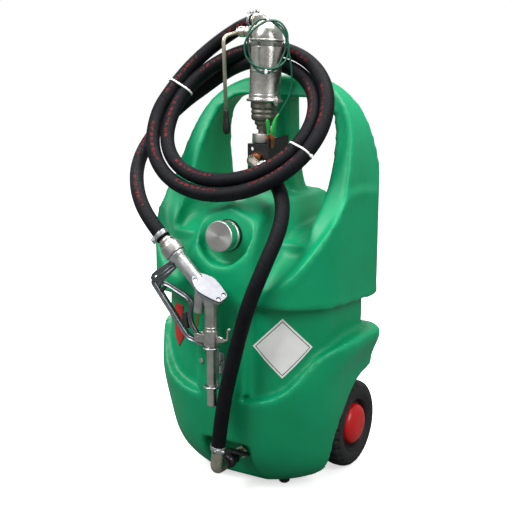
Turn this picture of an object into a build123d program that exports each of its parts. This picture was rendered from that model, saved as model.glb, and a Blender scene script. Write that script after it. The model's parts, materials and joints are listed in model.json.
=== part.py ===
import math
import os

from build123d import *

os.makedirs("parts", exist_ok=True)

# Tank hull
tank_half_width = 220
tank_front = 150
tank_rear = 178
tank_wall = 6
lower_height = 352
rear_corner_radius = 50
lower_height_shares = (0.03, 0.07, 0.14, 0.24, 0.4, 0.57, 0.77, 1.0)
lower_width_shares = (0.6, 0.74, 0.85, 0.9, 0.935, 0.965, 0.992, 1.0)
lower_front_shares = (0.4, 0.52, 0.66, 0.79, 0.9, 0.97, 1.0, 1.0)
lower_corner_shares = (0.88, 0.88, 0.82, 0.76, 0.73, 0.7, 0.68, 0.68)
ledge_height = 340
ledge_drop = 104
ledge_drop_shares = ((-0.3, 1.12), (-0.1, 1.0), (0.08, 0.78), (0.24, 0.45), (0.42, 0.15), (0.62, 0.02), (1.3, 0.0))
waist_inset = 24
waist_corner_radius = 118
waist_bottom = 180
skirt_height = 436
skirt_rear_drop = 28
upper_corner_radius = 124
upper_rear = 190

# Nose, saddle and handle arch
nose_half_width = 64
nose_edge_radius = 16
nose_bottom = 236
handle_height = 884
handle_half_width_shares = ((1.0, 0.27), (0.975, 0.49), (0.905, 0.71), (0.765, 0.885), (0.53, 0.975), (0.0, 1.0))
section_places = (0.0, 0.3, 0.49, 0.69, 1.01)
section_runs = (
    (1.0, 0.62, 0.28, 0.14, 0.055, 0.01, 0.0),
    (1.0, 0.62, 0.3, 0.17, 0.075, 0.02, 0.0),
    (1.0, 0.62, 0.38, 0.25, 0.15, 0.06, 0.0),
    (1.0, 0.62, 0.44, 0.3, 0.18, 0.08, 0.0),
    (1.0, 0.62, 0.44, 0.33, 0.185, 0.075, 0.005),
)
section_heights = (
    (0.45, 0.455, 0.455, 0.43, 0.35, 0.235, 0.1),
    (0.43, 0.43, 0.42, 0.39, 0.31, 0.21, 0.09),
    (0.348, 0.335, 0.31, 0.268, 0.19, 0.125, 0.06),
    (0.348, 0.348, 0.34, 0.28, 0.21, 0.155, 0.085),
    (0.455, 0.5, 0.482, 0.42, 0.33, 0.25, 0.1),
)
arm_rear_shares = ((1.0, 0.12), (0.97, 0.49), (0.938, 0.635), (0.9, 0.78), (0.885, 1.02))
arm_front_shares = ((0.85, 1.02), (0.765, 0.965), (0.705, 0.9), (0.625, 0.77), (0.535, 0.64), (0.44, 0.5), (0.33, 0.4), (0.2, 0.12))
window_shares = ((0.36, 0.905), (0.64, 0.84), (0.73, 0.72), (0.765, 0.57), (0.74, 0.28))
post_half_width = 17
post_front = 104
post_rear = 164
post_flare_shares = (3.2, 1.9, 1.25, 1.0)
post_height_shares = (0.38, 0.48, 0.6, 0.92)
post_edge_radius = 8

# Cuts in the hull
arch_radius = 146
block_half_width = 114
block_lift = 46
axle_height = 100
axle_rear = 142
recess_half_width = 58
recess_height = 118
recess_depth = 92
dish_radius = 62
neck_front = 112
cap_height = 570
cap_tilt = 6.6

# Wheels, axle and feet
wheel_radius = 100
wheel_width = 54
wheel_inner = 131
tread_count = 26
tread_slot = 8
tread_depth = 5
tread_row_share = 0.36
tyre_shares = (
    (0.62, 0.08), (0.7, 0.0), (0.86, 0.0), (0.96, 0.1), (1.0, 0.26),
    (1.0, 0.74), (0.96, 0.9), (0.86, 1.0), (0.7, 1.0), (0.62, 0.92),
)
rim_radius_share = 0.62
hub_radius = 22
bush_radius = 14
axle_radius = 10
running_clearance = 0.05
axle_seat = 2
hub_length = 46
web_low = 20
web_high = 35
rim_wall = 6
hub_cap_radius = 46
hub_cap_wall = 3
hub_cap_shares = ((1.0, 0.0), (1.0, 0.35), (0.87, 0.72), (0.57, 0.93), (0.0, 1.0))
hub_cap_height = 27
spacer_radius = 17
retainer_thickness = 3
axle_end = 53
soft_clearance = 0.3
foot_radius = 12
foot_spacing = 86
foot_front = 20
foot_edge = 3

# Filler neck and cap
neck_outer_radius = 27
neck_bore_radius = 22
neck_flange_radius = 34
neck_flange_thickness = 3
neck_length = 20
cap_radius = 32.5
cap_length = 38
cap_start = 4
cap_wall = 4.9
cap_groove = 1.5
cap_band = 6
gasket_thickness = 2.5
gasket_width = 6

# Pump bracket on the post
bracket_thickness = 4
bracket_left = 32
bracket_front = 18
bracket_low_share = 15 / 28
bracket_low = skirt_height + (handle_height - skirt_height) * bracket_low_share
shelf_rise = 69
shelf_height = bracket_low + shelf_rise
shelf_rear = 72
side_rise = 12
side_top = shelf_height + side_rise
bolt_hole_radius = 4
bolt_hole_inset = 11
bolt_pitch = 52
screw_head_radius = 5
screw_head_height = 3
nose_screw_place = 44
nose_screw_height = 300

# Pump, all on one axis that leans back a little
pump_x = -9
pump_y = 45
pump_lean = 4
foot_hex_radius = 24
foot_hex_height = 20
liquid_bore = 8
tail_radii = (11, 15, 20)
tail_steps = (20, 28, 38, 47)
base_radii = (28, 30)
base_steps = (47, 67, 88)
base_wall = 5
flange_radius = 39
flange_top = 94
lug_radius = 6
lug_angles = (-20, 160)
cylinder_radius = 34
cylinder_bore = 30
lever_height = 234.5
head_drop = 29.5
cylinder_top = lever_height - head_drop
head_flange_radius = 37
head_flange_height = 14
head_flange_top = cylinder_top + head_flange_height
head_shares = ((1.0, 0.0), (1.0, 0.3), (0.88, 0.62), (0.62, 0.86), (0.3, 0.98), (0.0, 1.0))
head_height = 44
head_top = head_flange_top + head_height
head_wall = 5
head_screw_count = 6
head_screw_radius = 2.5
head_screw_height = 3
piston_low = 118
piston_height = 16
piston_clearance = 0.1
seal_height = 5
seal_depth = 3
rod_radius = 5
rod_top = cylinder_top
rack_width = 6
rack_length = 38
tooth_depth = 2.5
pinion_radius = 12
pinion_teeth = 15
pinion_width = 8
shaft_radius = 6
shaft_reach = 62
gland_radius = 12
gland_length = 10
gland_place = 42
valve_disc_radius = 16
valve_disc_height = 4

# Lever, hanging straight down at rest, its points measured from its shaft on the pump's axis
lever_rod_radius = 4
lever_bend = 9
lever_points = ((-67, 0, 0), (-79, -49.4, -9), (-74, -49.4, -164))
lever_hub_radius = 11
lever_hub_length = 16
grip_length = 54
grip_radius = 8.5
grip_shares = ((0.0, 0.0), (0.6, 0.0), (0.75, 0.3), (1.0, 0.62), (0.95, 0.85), (0.5, 1.0), (0.0, 1.0))

# Hose and fittings: the outlet's points are measured from the lever's shaft, the elbow's from the bracket's foot
hose_radius = 15.5
barb_radius = 9
outlet_radius = 12
outlet_bend = 16
outlet_points = ((-3, 1.6, 19.1), (-25, 11.6, 27.1), (-40, 20.6, 24.1))
elbow_radius = 11
elbow_bend = 14
elbow_points = ((-9, 45, 69), (-9, 45, 37), (-9, -8, 37), (27, -24, 24))
elbow_nut_radius = 16
elbow_nut_length = 9
clamp_width = 10
clamp_band = 1.6
clamp_screw_radius = 4
clamp_screw_length = 15
clamp_inset = 5

# Delivery hose coil: two turns and the start, then the free tail
coil_middle = (-47, 0, 799)
coil_half_width = 207
coil_half_depth = 117
coil_half_height = 146
coil_width_step = 33
coil_depth_step = 11
coil_height_step = 30
coil_drop_step = 3
coil_shift_step = 8
coil_turns = 2
tail_points = (
    (-212, 118, 848), (-256, 107, 817), (-298, 48, 756), (-288, -38, 695),
    (-224, -128, 646), (-151.3, -185, 601.8), (-111.4, -185, 563.9),
)
suction_points = (
    (72, -44, 683.75), (112, -78, 648), (131, -122, 600),
    (117, -168, 525), (88, -184, 440), (50, -184, 305), (26.5, -182.25, 208.875), (10, -174, 114),
)

# Earthing cable and its clip
lead_radius = 2
hank_drop = 55
lead_half_width = 43
lead_half_height = 52
lead_turns = 4.25
lead_pitch = 4.8
lead_view = 31
hank_clearance = 2.7
lead_points = ((66, 38, 902), (62, 40, 850), (36, 33, 810), (27, 29, 791.3))
clip_middle = 29
clip_width = 8
clip_thickness = 1.7
clip_gap = 0.1
clip_pivot_rise = 21
clip_pivot_height = shelf_height + clip_pivot_rise
clip_top_rise = 45
clip_top = shelf_height + clip_top_rise
clip_low_rise = 1
clip_low = shelf_height + clip_low_rise
clip_jaw_drop = 10
clip_jaw_low = shelf_height - clip_jaw_drop
clip_pin_radius = 1.5
clip_ear_radius = 4
clip_ear_share = 0.25
clip_handle_reach = 12

# Nozzle
nozzle_head = (-4, -185, 462)
nozzle_incline = 46.5
grip_steps = (12, 30, 44, 92, 98, 106)
grip_radii = (21, 16, 14, 15, 18, 18)
nozzle_bore = 8
swivel_steps = (106, 112, 126, 134)
swivel_radii = (17, 20, 20, 15)
hose_start = 148
cover_length = 84
cover_half_width = 26
cover_shares = ((-0.5, -0.38), (-0.5, 0.38), (-0.1, 1.0), (0.5, 0.5), (0.5, -0.5), (-0.1, -1.0))
cover_offset = 16
cover_thickness = 6
cover_facing = (0.45, -0.45, 0.77)
cover_direction = (0.86, 0.0, -0.5)
cover_edge = 1.2
head_share = 0.55
cover_corner = 6
head_depth = 26
cover_screw_radius = 4
cover_screw_height = 2.5
cover_screw_shares = ((-0.38, 0.3), (-0.38, -0.3), (0.38, 0.32), (0.38, -0.32))
stub_radius = 11
stub_length = 46
stub_bore = 7
stub_angle = 8
stub_shift = 18
stem_radius = 3
stem_end = 76
poppet_radius = 6.5
poppet_height = 6
spring_radius = 5.4
spring_wire = 0.9
spring_pitch = 5
spout_x = 3
spout_y = -184
spout_top = 442
spout_thick_radius = 14
spout_collar_radius = 17
collar_top = 384
collar_low = 349
spout_radius = 10
spout_bore = 8
spout_end = 219
hook_radius = 3
hook_points = ((18, -184, 372), (40, -184, 366), (45, -184, 390))
guard_width = 13
guard_thickness = 5.5
guard_shift = -2
guard_bend = 7
guard_points = ((-84, 500), (-108, 520), (-145, 478), (-52, 356), (-13, 351.5))
trigger_width = 8
trigger_thickness = 7
trigger_pivot = (-25, 366)
trigger_points = ((-120, 466), (-63, 447), (-56, 402))
trigger_bend = 9
trigger_boss_radius = 6
trigger_pin_radius = 3
lug_thickness = 4

# Nozzle holder, tag and label
holder_wire = 2.5
holder_ring_radius = 15.5
holder_top = 346
holder_low = 261
holder_plate_width = 22
holder_plate_low = 280
holder_plate_height = 46
holder_plate_thickness = 3
tag_width = 34
tag_height = 96
tag_point = 22
tag_thickness = 1.2
tag_angle = 23.5
tag_middle = 357
label_side = 92
label_thickness = 0.6
label_angle = 27
label_height = 345

# Drain valve
drain_x = 2
drain_height = 68
drain_front = 170
drain_elbow_radius = 13
drain_elbow_bend = 16
valve_front = 140
valve_rear = 94
valve_radius = 17
valve_end_radius = 14
ball_radius = 12
ball_bore = 7
valve_stem_radius = 4
valve_stem_top = 27
valve_lever_length = 44
valve_lever_width = 14
valve_lever_thickness = 5
nipple_radius = 10
nipple_bore = 7
lock_nut_radius = 15
lock_nut_length = 8

# Ties, and shares used by the routes
bend_share = 0.45
quarters = 4
route_samples = 40
tie_width = 4.5
tie_thickness = 1.5
tie_clearance = 0.8
upper_tie_share = 0.55
lower_tie_share = 0.5
overrun = 60


def plan_section(height, half_width, front, rear, front_radius, rear_radius):
    with BuildSketch(Plane.XY.offset(height)) as outline:
        with BuildLine():
            Polyline(
                (-half_width, -front),
                (half_width, -front),
                (half_width, rear),
                (-half_width, rear),
                close=True,
            )
        make_face()
        fillet(outline.vertices().group_by(Axis.Y)[0], front_radius)
        fillet(outline.vertices().group_by(Axis.Y)[-1], rear_radius)
    return outline.sketch


def upper_point(run, height, inset):
    # A point of the upper body: run from the front face, height over the skirt
    y = -tank_front + inset + run * (tank_front + upper_rear - 2 * inset)
    z = skirt_height + height * (handle_height - skirt_height) - inset
    return (y, z)


def upper_section(place, runs, heights, inset):
    with BuildSketch(Plane.YZ.offset(place * tank_half_width)) as outline:
        with BuildLine():
            top = Spline([upper_point(run, height, inset) for run, height in zip(runs, heights)])
            front = (-tank_front + inset, skirt_height + inset)
            rear = (upper_rear - inset, skirt_height - skirt_rear_drop + inset)
            Polyline(top @ 1, front, rear, top @ 0)
        make_face()
    return outline.sketch


# The tank's outer skin at inset 0, and its hollow at an inset of one wall
def tank_hull(inset):
    lower_sections = [
        plan_section(
            z * lower_height + inset * (1 - z),
            w * tank_half_width - inset,
            f * tank_front - inset,
            tank_rear - inset,
            c * w * tank_half_width - inset,
            rear_corner_radius - inset,
        )
        for z, w, f, c in zip(lower_height_shares, lower_width_shares, lower_front_shares, lower_corner_shares)
    ]
    with BuildPart() as lower:
        loft(lower_sections)
        # The ledge dips towards the front along a diagonal of each half
        with BuildSketch(Plane(origin=(0, 0, 0), x_dir=(1, 1, 0), z_dir=(1, -1, 0))):
            with BuildLine():
                ledge_points = [
                    (u * tank_half_width, ledge_height - inset - d * ledge_drop) for u, d in ledge_drop_shares
                ]
                ledge = Spline(ledge_points)
                high = lower_height + overrun
                front_edge = ledge_points[0][0] - inset
                rest = [ledge @ 1, (ledge_points[-1][0], high), (front_edge, high)]
                if inset:
                    rest.append((front_edge, ledge_points[0][1]))
                Polyline(*rest, ledge @ 0)
            make_face()
        extrude(amount=tank_half_width * 2, both=True, mode=Mode.SUBTRACT)
        split(bisect_by=Plane.YZ)
        mirror(about=Plane.YZ)
    waist_front = tank_front - waist_inset - inset
    waist_rear = upper_rear - waist_inset - inset
    waist_width = tank_half_width - waist_inset - inset
    waist_plan = plan_section(
        waist_bottom,
        waist_width,
        waist_front,
        waist_rear,
        waist_corner_radius - inset,
        rear_corner_radius - inset,
    )
    nose_plan = plan_section(
        nose_bottom + inset,
        nose_half_width - inset,
        tank_front - inset,
        0,
        nose_edge_radius,
        nose_edge_radius,
    )
    waist_top = skirt_height + waist_inset
    with BuildPart() as waist:
        extrude(waist_plan, amount=waist_top - waist_bottom)
        extrude(nose_plan, amount=waist_top - nose_bottom - inset)
    places = [-p for p in reversed(section_places[1:])] + list(section_places)
    runs = list(reversed(section_runs[1:])) + list(section_runs)
    heights = list(reversed(section_heights[1:])) + list(section_heights)
    upper_plan = plan_section(
        nose_bottom,
        tank_half_width - inset,
        tank_front - inset,
        upper_rear - inset,
        upper_corner_radius - inset,
        rear_corner_radius - inset,
    )
    with BuildPart() as upper:
        loft([upper_section(p, r, h, inset) for p, r, h in zip(places, runs, heights)], ruled=True)
        extrude(upper_plan, amount=handle_height, mode=Mode.INTERSECT)
    return lower.part + waist.part + upper.part


# The handle arch with its two windows, without the post between them
def handle_arch():
    rise = handle_height - skirt_height
    depth = tank_front + upper_rear
    with BuildPart() as arch:
        with BuildSketch(Plane.XZ):
            with BuildLine():
                side = [(w * tank_half_width, skirt_height + h * rise) for h, w in handle_half_width_shares[1:]]
                edge = Spline([(0, handle_height)] + side, tangents=[(1, 0), (0, -1)])
                Polyline(edge @ 1, (0, skirt_height), (0, handle_height))
            make_face()
            with BuildLine():
                window = [(x * tank_half_width, skirt_height + z * rise) for x, z in window_shares]
                curve = Spline(window)
                Polyline(curve @ 1, (0, window[-1][1]), (0, window[0][1]), curve @ 0)
            make_face(mode=Mode.SUBTRACT)
        extrude(amount=tank_half_width, both=True)
        mirror(about=Plane.YZ)
    with BuildPart() as side_form:
        with BuildSketch(Plane.YZ):
            with BuildLine():
                rear = Spline([(y * depth - tank_front, z * rise + skirt_height) for y, z in arm_rear_shares])
                front = Spline([(y * depth - tank_front, z * rise + skirt_height) for y, z in arm_front_shares])
                Line(rear @ 1, front @ 0)
                Line(front @ 1, rear @ 0)
            make_face()
        extrude(amount=tank_half_width * 2, both=True)
    arm_plan = plan_section(
        waist_bottom,
        tank_half_width,
        tank_front,
        upper_rear,
        upper_corner_radius,
        rear_corner_radius,
    )
    with BuildPart() as plan_form:
        extrude(arm_plan, amount=handle_height)
    return arch.part & side_form.part & plan_form.part


def post():
    rise = handle_height - skirt_height
    sections = [
        plan_section(
            skirt_height + z * rise,
            w * post_half_width,
            -post_front,
            post_rear,
            post_edge_radius,
            post_edge_radius,
        )
        for z, w in zip(post_height_shares, post_flare_shares)
    ]
    with BuildPart() as column:
        loft(sections, ruled=True)
    return column.part


cap_turn = math.radians(cap_tilt)
cap_plane = Plane(
    origin=(0, -neck_front, cap_height),
    x_dir=(1, 0, 0),
    z_dir=(0, -math.cos(cap_turn), math.sin(cap_turn)),
)


# What the wheels, the drain, the cap dish and the axle take out of the hull
def hull_cuts(grow):
    with BuildPart() as cuts:
        with BuildSketch(Plane.YZ.offset(block_half_width - grow)):
            with Locations((axle_rear, axle_height)):
                Circle(arch_radius + grow)
        extrude(amount=tank_half_width)
        mirror(about=Plane.YZ)
        with BuildSketch(Plane.YZ):
            with BuildLine():
                Polyline(
                    (0, -overrun),
                    (0, lower_height_shares[0] * lower_height + grow),
                    (tank_rear + overrun, block_lift + grow),
                    (tank_rear + overrun, -overrun),
                    close=True,
                )
            make_face()
        extrude(amount=tank_half_width, both=True)
        with BuildSketch(Plane.XZ.offset(tank_front - recess_depth - grow)):
            with Locations((0, (recess_height - overrun) / 2)):
                Rectangle(
                    2 * (recess_half_width + grow),
                    recess_height + overrun + 2 * grow,
                )
        extrude(amount=recess_depth + overrun)
        with BuildSketch(cap_plane.offset(-grow)):
            Circle(dish_radius + grow)
        extrude(amount=overrun + grow)
    return cuts.part


def save(part, name):
    part.label = name
    export_step(part, "parts/" + name + ".step")


def turned(plane, outline):
    # Revolve pairs of radius and height about the plane's own axis
    with BuildPart() as body:
        with BuildSketch(Plane(origin=plane.origin, x_dir=plane.x_dir, z_dir=-plane.y_dir)):
            with BuildLine():
                Polyline(*outline, close=True)
            make_face()
        revolve(axis=Axis(plane.origin, plane.z_dir))
    return body.part


def ring(plane, inner, outer, low, high):
    return turned(plane, [(inner, low), (outer, low), (outer, high), (inner, high)])


def disc(plane, radius, low, high):
    with BuildPart() as body:
        with BuildSketch(plane.offset(low)):
            Circle(radius)
        extrude(amount=high - low)
    return body.part


def hexagon(plane, radius, low, high, bore):
    with BuildPart() as body:
        with BuildSketch(plane.offset(low)):
            RegularPolygon(radius, 6, rotation=30)
            if bore:
                Circle(bore, mode=Mode.SUBTRACT)
        extrude(amount=high - low)
    return body.part


def block(low, high):
    size = [b - a for a, b in zip(low, high)]
    middle = [(a + b) / 2 for a, b in zip(low, high)]
    with BuildPart() as body:
        with Locations(tuple(middle)):
            Box(*size)
    return body.part


def route_radii(points):
    # Each bend takes just under half of the shorter run beside it
    radii = []
    for before, here, after in zip(points, points[1:], points[2:]):
        arriving = Vector(here) - Vector(before)
        leaving = Vector(after) - Vector(here)
        half_turn = math.radians(arriving.get_angle(leaving)) / 2
        radii.append(bend_share * min(arriving.length, leaving.length) / math.tan(half_turn))
    return radii


def rod(points, radius, bend, bore=0):
    with BuildPart() as body:
        with BuildLine() as path:
            if bend:
                FilletPolyline(*points, radius=bend)
            else:
                Polyline(*points)
        wire = Wire(path.edges())
        with BuildSketch(Plane(origin=wire @ 0, z_dir=wire % 0)):
            Circle(radius)
            if bore:
                Circle(bore, mode=Mode.SUBTRACT)
        sweep(path=wire)
    return body.part


def cord(points, radius, name):
    radii = route_radii(points)
    with BuildPart() as body:
        with BuildLine() as path:
            FilletPolyline(*points, radius=radii)
        wire = Wire(path.edges())
        with BuildSketch(Plane(origin=wire @ 0, z_dir=wire % 0)):
            Circle(radius)
        sweep(path=wire)
    print(name, "length", round(wire.length), "radii", [round(r) for r in radii])
    print(name, "volume share", round(body.part.volume / (math.pi * radius**2 * wire.length), 4))
    return body.part


def biarc(start, start_direction, end, end_direction):
    # Two arcs that leave and arrive along the given directions
    span = end - start
    total = start_direction + end_direction
    a = 2 * (1 - start_direction.dot(end_direction))
    b = 2 * span.dot(total)
    c = -span.dot(span)
    reach = (math.sqrt(b * b - 4 * a * c) - b) / (2 * a) if a > 1e-9 else -c / b
    middle = (start + end + (start_direction - end_direction) * reach) / 2
    middle_direction = (end - end_direction * reach - start - start_direction * reach).normalized()
    return middle, middle_direction


def coil(begin, knots, radius, name):
    # One unbroken tube: straight to the first knot, then arcs from knot to knot
    with BuildPart() as body:
        with BuildLine() as path:
            Line(begin, knots[0][0])
            for (start, heading), (end, arriving) in zip(knots, knots[1:]):
                middle, through = biarc(start, heading, end, arriving)
                TangentArc(start, middle, tangent=heading)
                TangentArc(middle, end, tangent=through)
        wire = Wire(path.edges())
        with BuildSketch(Plane(origin=begin, z_dir=knots[0][1])):
            Circle(radius)
        sweep(path=wire)
    count = route_samples * (len(knots) - 1)
    places = [wire @ (k / count) for k in range(count + 1)]
    step = wire.length / count
    apart = int(3 * radius / step) + count // (len(knots) - 1)
    gap = min(
        (a - b).length - 2 * radius for i, a in enumerate(places) for b in places[i + apart :]
    )
    print(name, "length", round(wire.length), "least gap to itself", round(gap, 2))
    print(name, "volume share", round(body.part.volume / (math.pi * radius**2 * wire.length), 4))
    return body.part


def direction(start, end):
    return (Vector(end) - Vector(start)).normalized()


# The tank: hull, arch and post, hollow, with its bores
axle_plane = Plane(origin=(0, axle_rear, axle_height), x_dir=(0, 1, 0), z_dir=(1, 0, 0))
drain_plane = Plane(origin=(drain_x, 0, drain_height), x_dir=(1, 0, 0), z_dir=(0, 1, 0))
recess_back = -(tank_front - recess_depth)
hollow = tank_hull(tank_wall) - hull_cuts(tank_wall)
with BuildPart() as tank:
    add(tank_hull(0))
    add(hull_cuts(0), mode=Mode.SUBTRACT)
    add(handle_arch())
    add(post())
    add(hollow, mode=Mode.SUBTRACT)
    # A solid foot of moulding carries the axle
    add(
        block(
            (-block_half_width, axle_rear - 3 * axle_radius, axle_height - 3 * axle_radius),
            (block_half_width, tank_rear, axle_height + 3 * axle_radius),
        )
    )
    add(disc(axle_plane, axle_radius + running_clearance, -tank_half_width, tank_half_width), mode=Mode.SUBTRACT)
    add(disc(cap_plane, neck_outer_radius, -overrun, 0), mode=Mode.SUBTRACT)
    add(disc(drain_plane, nipple_radius, recess_back - tank_wall, recess_back + 2 * tank_wall), mode=Mode.SUBTRACT)
save(tank.part, "tank")
print("tank solids", len(tank.part.solids()), "volume", round(tank.part.volume))
tank_base = tank.part.bounding_box().min.Z

# Two front feet, and one in the middle that stands on the origin
feet = []
for side in (-1, 0, 1):
    foot_plane = Plane.XY.move(Location((side * foot_spacing, -abs(side) * foot_front, 0)))
    outline = [(0, 0), (foot_radius - foot_edge, 0), (foot_radius, foot_edge), (foot_radius, tank_base), (0, tank_base)]
    feet.append(turned(foot_plane, outline))
save(Compound(children=feet), "front_feet")

# Axle, its washers and the two wheels
reach = wheel_inner + axle_end
save(disc(axle_plane, axle_radius, -reach, reach), "axle")
washers = []
for side, name in ((-1, "left"), (1, "right")):
    wheel_plane = Plane(origin=(side * wheel_inner, axle_rear, axle_height), x_dir=(0, 1, 0), z_dir=(side, 0, 0))
    loose = axle_radius + running_clearance
    spacer_low = block_half_width - wheel_inner
    washers.append(ring(wheel_plane, loose, spacer_radius, spacer_low, axle_seat - soft_clearance))
    retainer_low = axle_seat + hub_length + soft_clearance
    washers.append(ring(wheel_plane, loose, spacer_radius, retainer_low, retainer_low + retainer_thickness))
    with BuildPart() as tyre:
        add(turned(wheel_plane, [(r * wheel_radius, h * wheel_width) for r, h in tyre_shares]))
        for low, high, turn in (
            (0, tread_row_share, 0),
            (tread_row_share, 1 - tread_row_share, 180 / tread_count),
            (1 - tread_row_share, 1, 0),
        ):
            with BuildSketch(wheel_plane.offset(low * wheel_width)):
                with PolarLocations(wheel_radius, tread_count, start_angle=turn):
                    Rectangle(2 * tread_depth, tread_slot)
            extrude(amount=(high - low) * wheel_width, mode=Mode.SUBTRACT)
    save(tyre.part, name + "_tyre")
    rim_radius = rim_radius_share * wheel_radius
    rim_low = 2 * axle_seat
    rim_high = wheel_width - 2 * axle_seat
    rim_outline = [
        (bush_radius, axle_seat),
        (hub_radius, axle_seat),
        (hub_radius, web_low),
        (rim_radius - rim_wall, web_low),
        (rim_radius - rim_wall, rim_low),
        (rim_radius, rim_low),
        (rim_radius, rim_high),
        (rim_radius - rim_wall, rim_high + axle_seat),
        (hub_cap_radius + rim_wall, web_high),
        (hub_radius, web_high),
        (hub_radius, axle_seat + hub_length),
        (bush_radius, axle_seat + hub_length),
    ]
    save(turned(wheel_plane, rim_outline), name + "_rim")
    save(ring(wheel_plane, loose, bush_radius, axle_seat, axle_seat + hub_length), name + "_bush")
    outer = [(r * hub_cap_radius, web_high + h * hub_cap_height) for r, h in hub_cap_shares]
    inside_radius = hub_cap_radius - hub_cap_wall
    inner = [(r * inside_radius, web_high + h * (hub_cap_height - hub_cap_wall)) for r, h in hub_cap_shares]
    save(turned(wheel_plane, outer + inner[::-1]), name + "_hub_cap")
save(Compound(children=washers), "axle_washers")

# Filler neck, gasket and screw cap
neck_outline = [
    (neck_bore_radius, -tank_wall),
    (neck_outer_radius, -tank_wall),
    (neck_outer_radius, 0),
    (neck_flange_radius, 0),
    (neck_flange_radius, neck_flange_thickness),
    (neck_outer_radius, neck_flange_thickness),
    (neck_outer_radius, neck_length),
    (neck_bore_radius, neck_length),
]
save(turned(cap_plane, neck_outline), "filler_neck")
cap_inner = cap_radius - cap_wall
gasket_low = neck_length + soft_clearance
gasket_high = gasket_low + gasket_thickness
save(ring(cap_plane, cap_inner - gasket_width, cap_inner, gasket_low, gasket_high), "filler_gasket")
cap_outline = [
    (0, gasket_high),
    (cap_inner, gasket_high),
    (cap_inner, cap_start),
    (cap_radius - cap_groove, cap_start),
    (cap_radius, cap_start + cap_groove),
    (cap_radius, cap_start + cap_band),
    (cap_radius - cap_groove, cap_start + cap_band + cap_groove),
    (cap_radius - cap_groove, cap_length - cap_band - 2 * cap_groove),
    (cap_radius, cap_length - cap_band - cap_groove),
    (cap_radius, cap_length - cap_groove),
    (cap_radius - cap_groove, cap_length),
    (0, cap_length),
]
save(turned(cap_plane, cap_outline), "filler_cap")

# Bracket that holds the pump in front of the post
foot_bore = elbow_radius + soft_clearance
plate_left = post_half_width
plate_right = plate_left + bracket_thickness
flange_back = bracket_front + bracket_thickness
elbow_route = [(x, y, bracket_low + z) for x, y, z in elbow_points]
elbow_height = elbow_route[1][2]
with BuildPart() as bracket:
    add(block((-bracket_left, bracket_front, bracket_low), (plate_right, flange_back, shelf_height)))
    add(block((plate_left, bracket_front, bracket_low), (plate_right, post_front, side_top)))
    add(
        block(
            (-plate_left, post_front - bracket_thickness, bracket_low),
            (plate_right, post_front, shelf_height),
        )
    )
    add(
        block(
            (-bracket_left, bracket_front, shelf_height - bracket_thickness),
            (plate_right, shelf_rear, shelf_height),
        )
    )
    for height in (shelf_height - bolt_hole_inset, shelf_height - bolt_hole_inset - bolt_pitch):
        hole_plane = Plane(origin=(bolt_hole_inset - bracket_left, 0, height), x_dir=(1, 0, 0), z_dir=(0, 1, 0))
        add(disc(hole_plane, bolt_hole_radius, 0, 2 * bracket_front), mode=Mode.SUBTRACT)
    leg_plane = Plane(origin=(pump_x, 0, elbow_height), x_dir=(1, 0, 0), z_dir=(0, 1, 0))
    add(disc(leg_plane, foot_bore, 0, 2 * bracket_front), mode=Mode.SUBTRACT)
    add(disc(Plane(origin=(pump_x, pump_y, 0)), foot_bore, bracket_low, shelf_height), mode=Mode.SUBTRACT)
save(bracket.part, "pump_bracket")

nose_plane = Plane(origin=(-nose_screw_place, -tank_front, nose_screw_height), x_dir=(1, 0, 0), z_dir=(0, -1, 0))
screws = [disc(nose_plane, screw_head_radius, 0, screw_head_height)]
for height in (bracket_low + bolt_hole_inset, shelf_height - 2 * bolt_hole_inset):
    screw_plane = Plane(origin=(0, post_front - bracket_thickness, height), x_dir=(1, 0, 0), z_dir=(0, -1, 0))
    screws.append(disc(screw_plane, screw_head_radius, 0, screw_head_height))
save(Compound(children=screws), "bracket_screws")

# Pump body pieces along the leaning axis
lean = math.radians(pump_lean)
pump_plane = Plane(
    origin=(pump_x, pump_y, shelf_height),
    x_dir=(1, 0, 0),
    z_dir=(0, math.sin(lean), math.cos(lean)),
)
with BuildPart() as pump_foot:
    add(hexagon(pump_plane, foot_hex_radius, -bracket_thickness, foot_hex_height, liquid_bore))
    split(bisect_by=Plane.XY.offset(shelf_height))
save(pump_foot.part, "pump_foot")
tail_outline = [(liquid_bore, tail_steps[0])]
for radius, low, high in zip(tail_radii, tail_steps, tail_steps[1:]):
    tail_outline += [(radius, low), (radius, high)]
tail_outline.append((liquid_bore, tail_steps[-1]))
save(turned(pump_plane, tail_outline), "pump_tailpiece")
base_outline = [
    (liquid_bore, base_steps[0]),
    (base_radii[0], base_steps[0]),
    (base_radii[0], base_steps[1]),
    (base_radii[1], base_steps[1]),
    (base_radii[1], base_steps[2]),
    (base_radii[0] - base_wall, base_steps[2]),
    (base_radii[0] - base_wall, base_steps[0] + base_wall),
    (liquid_bore, base_steps[0] + base_wall),
]
save(turned(pump_plane, base_outline), "pump_base")
valve_low = base_steps[0] + base_wall
save(disc(pump_plane, valve_disc_radius, valve_low, valve_low + valve_disc_height), "foot_valve")
with BuildPart() as cylinder:
    add(
        turned(
            pump_plane,
            [
                (cylinder_bore, base_steps[2]),
                (flange_radius, base_steps[2]),
                (flange_radius, flange_top),
                (cylinder_radius, flange_top),
                (cylinder_radius, cylinder_top),
                (cylinder_bore, cylinder_top),
            ],
        )
    )
    for turn in lug_angles:
        angle = math.radians(turn)
        with BuildSketch(pump_plane.offset(base_steps[2])):
            with Locations((flange_radius * math.cos(angle), flange_radius * math.sin(angle))):
                Circle(lug_radius)
        extrude(amount=flange_top - base_steps[2])
save(cylinder.part, "pump_cylinder")
head_rise = head_top - head_flange_top
outer = [(r * cylinder_radius, head_flange_top + h * head_rise) for r, h in head_shares]
inside = cylinder_radius - head_wall
inner = [(r * inside, head_flange_top + h * (head_rise - head_wall)) for r, h in head_shares]
head_outline = [(0, cylinder_top), (head_flange_radius, cylinder_top), (head_flange_radius, head_flange_top)]
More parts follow.
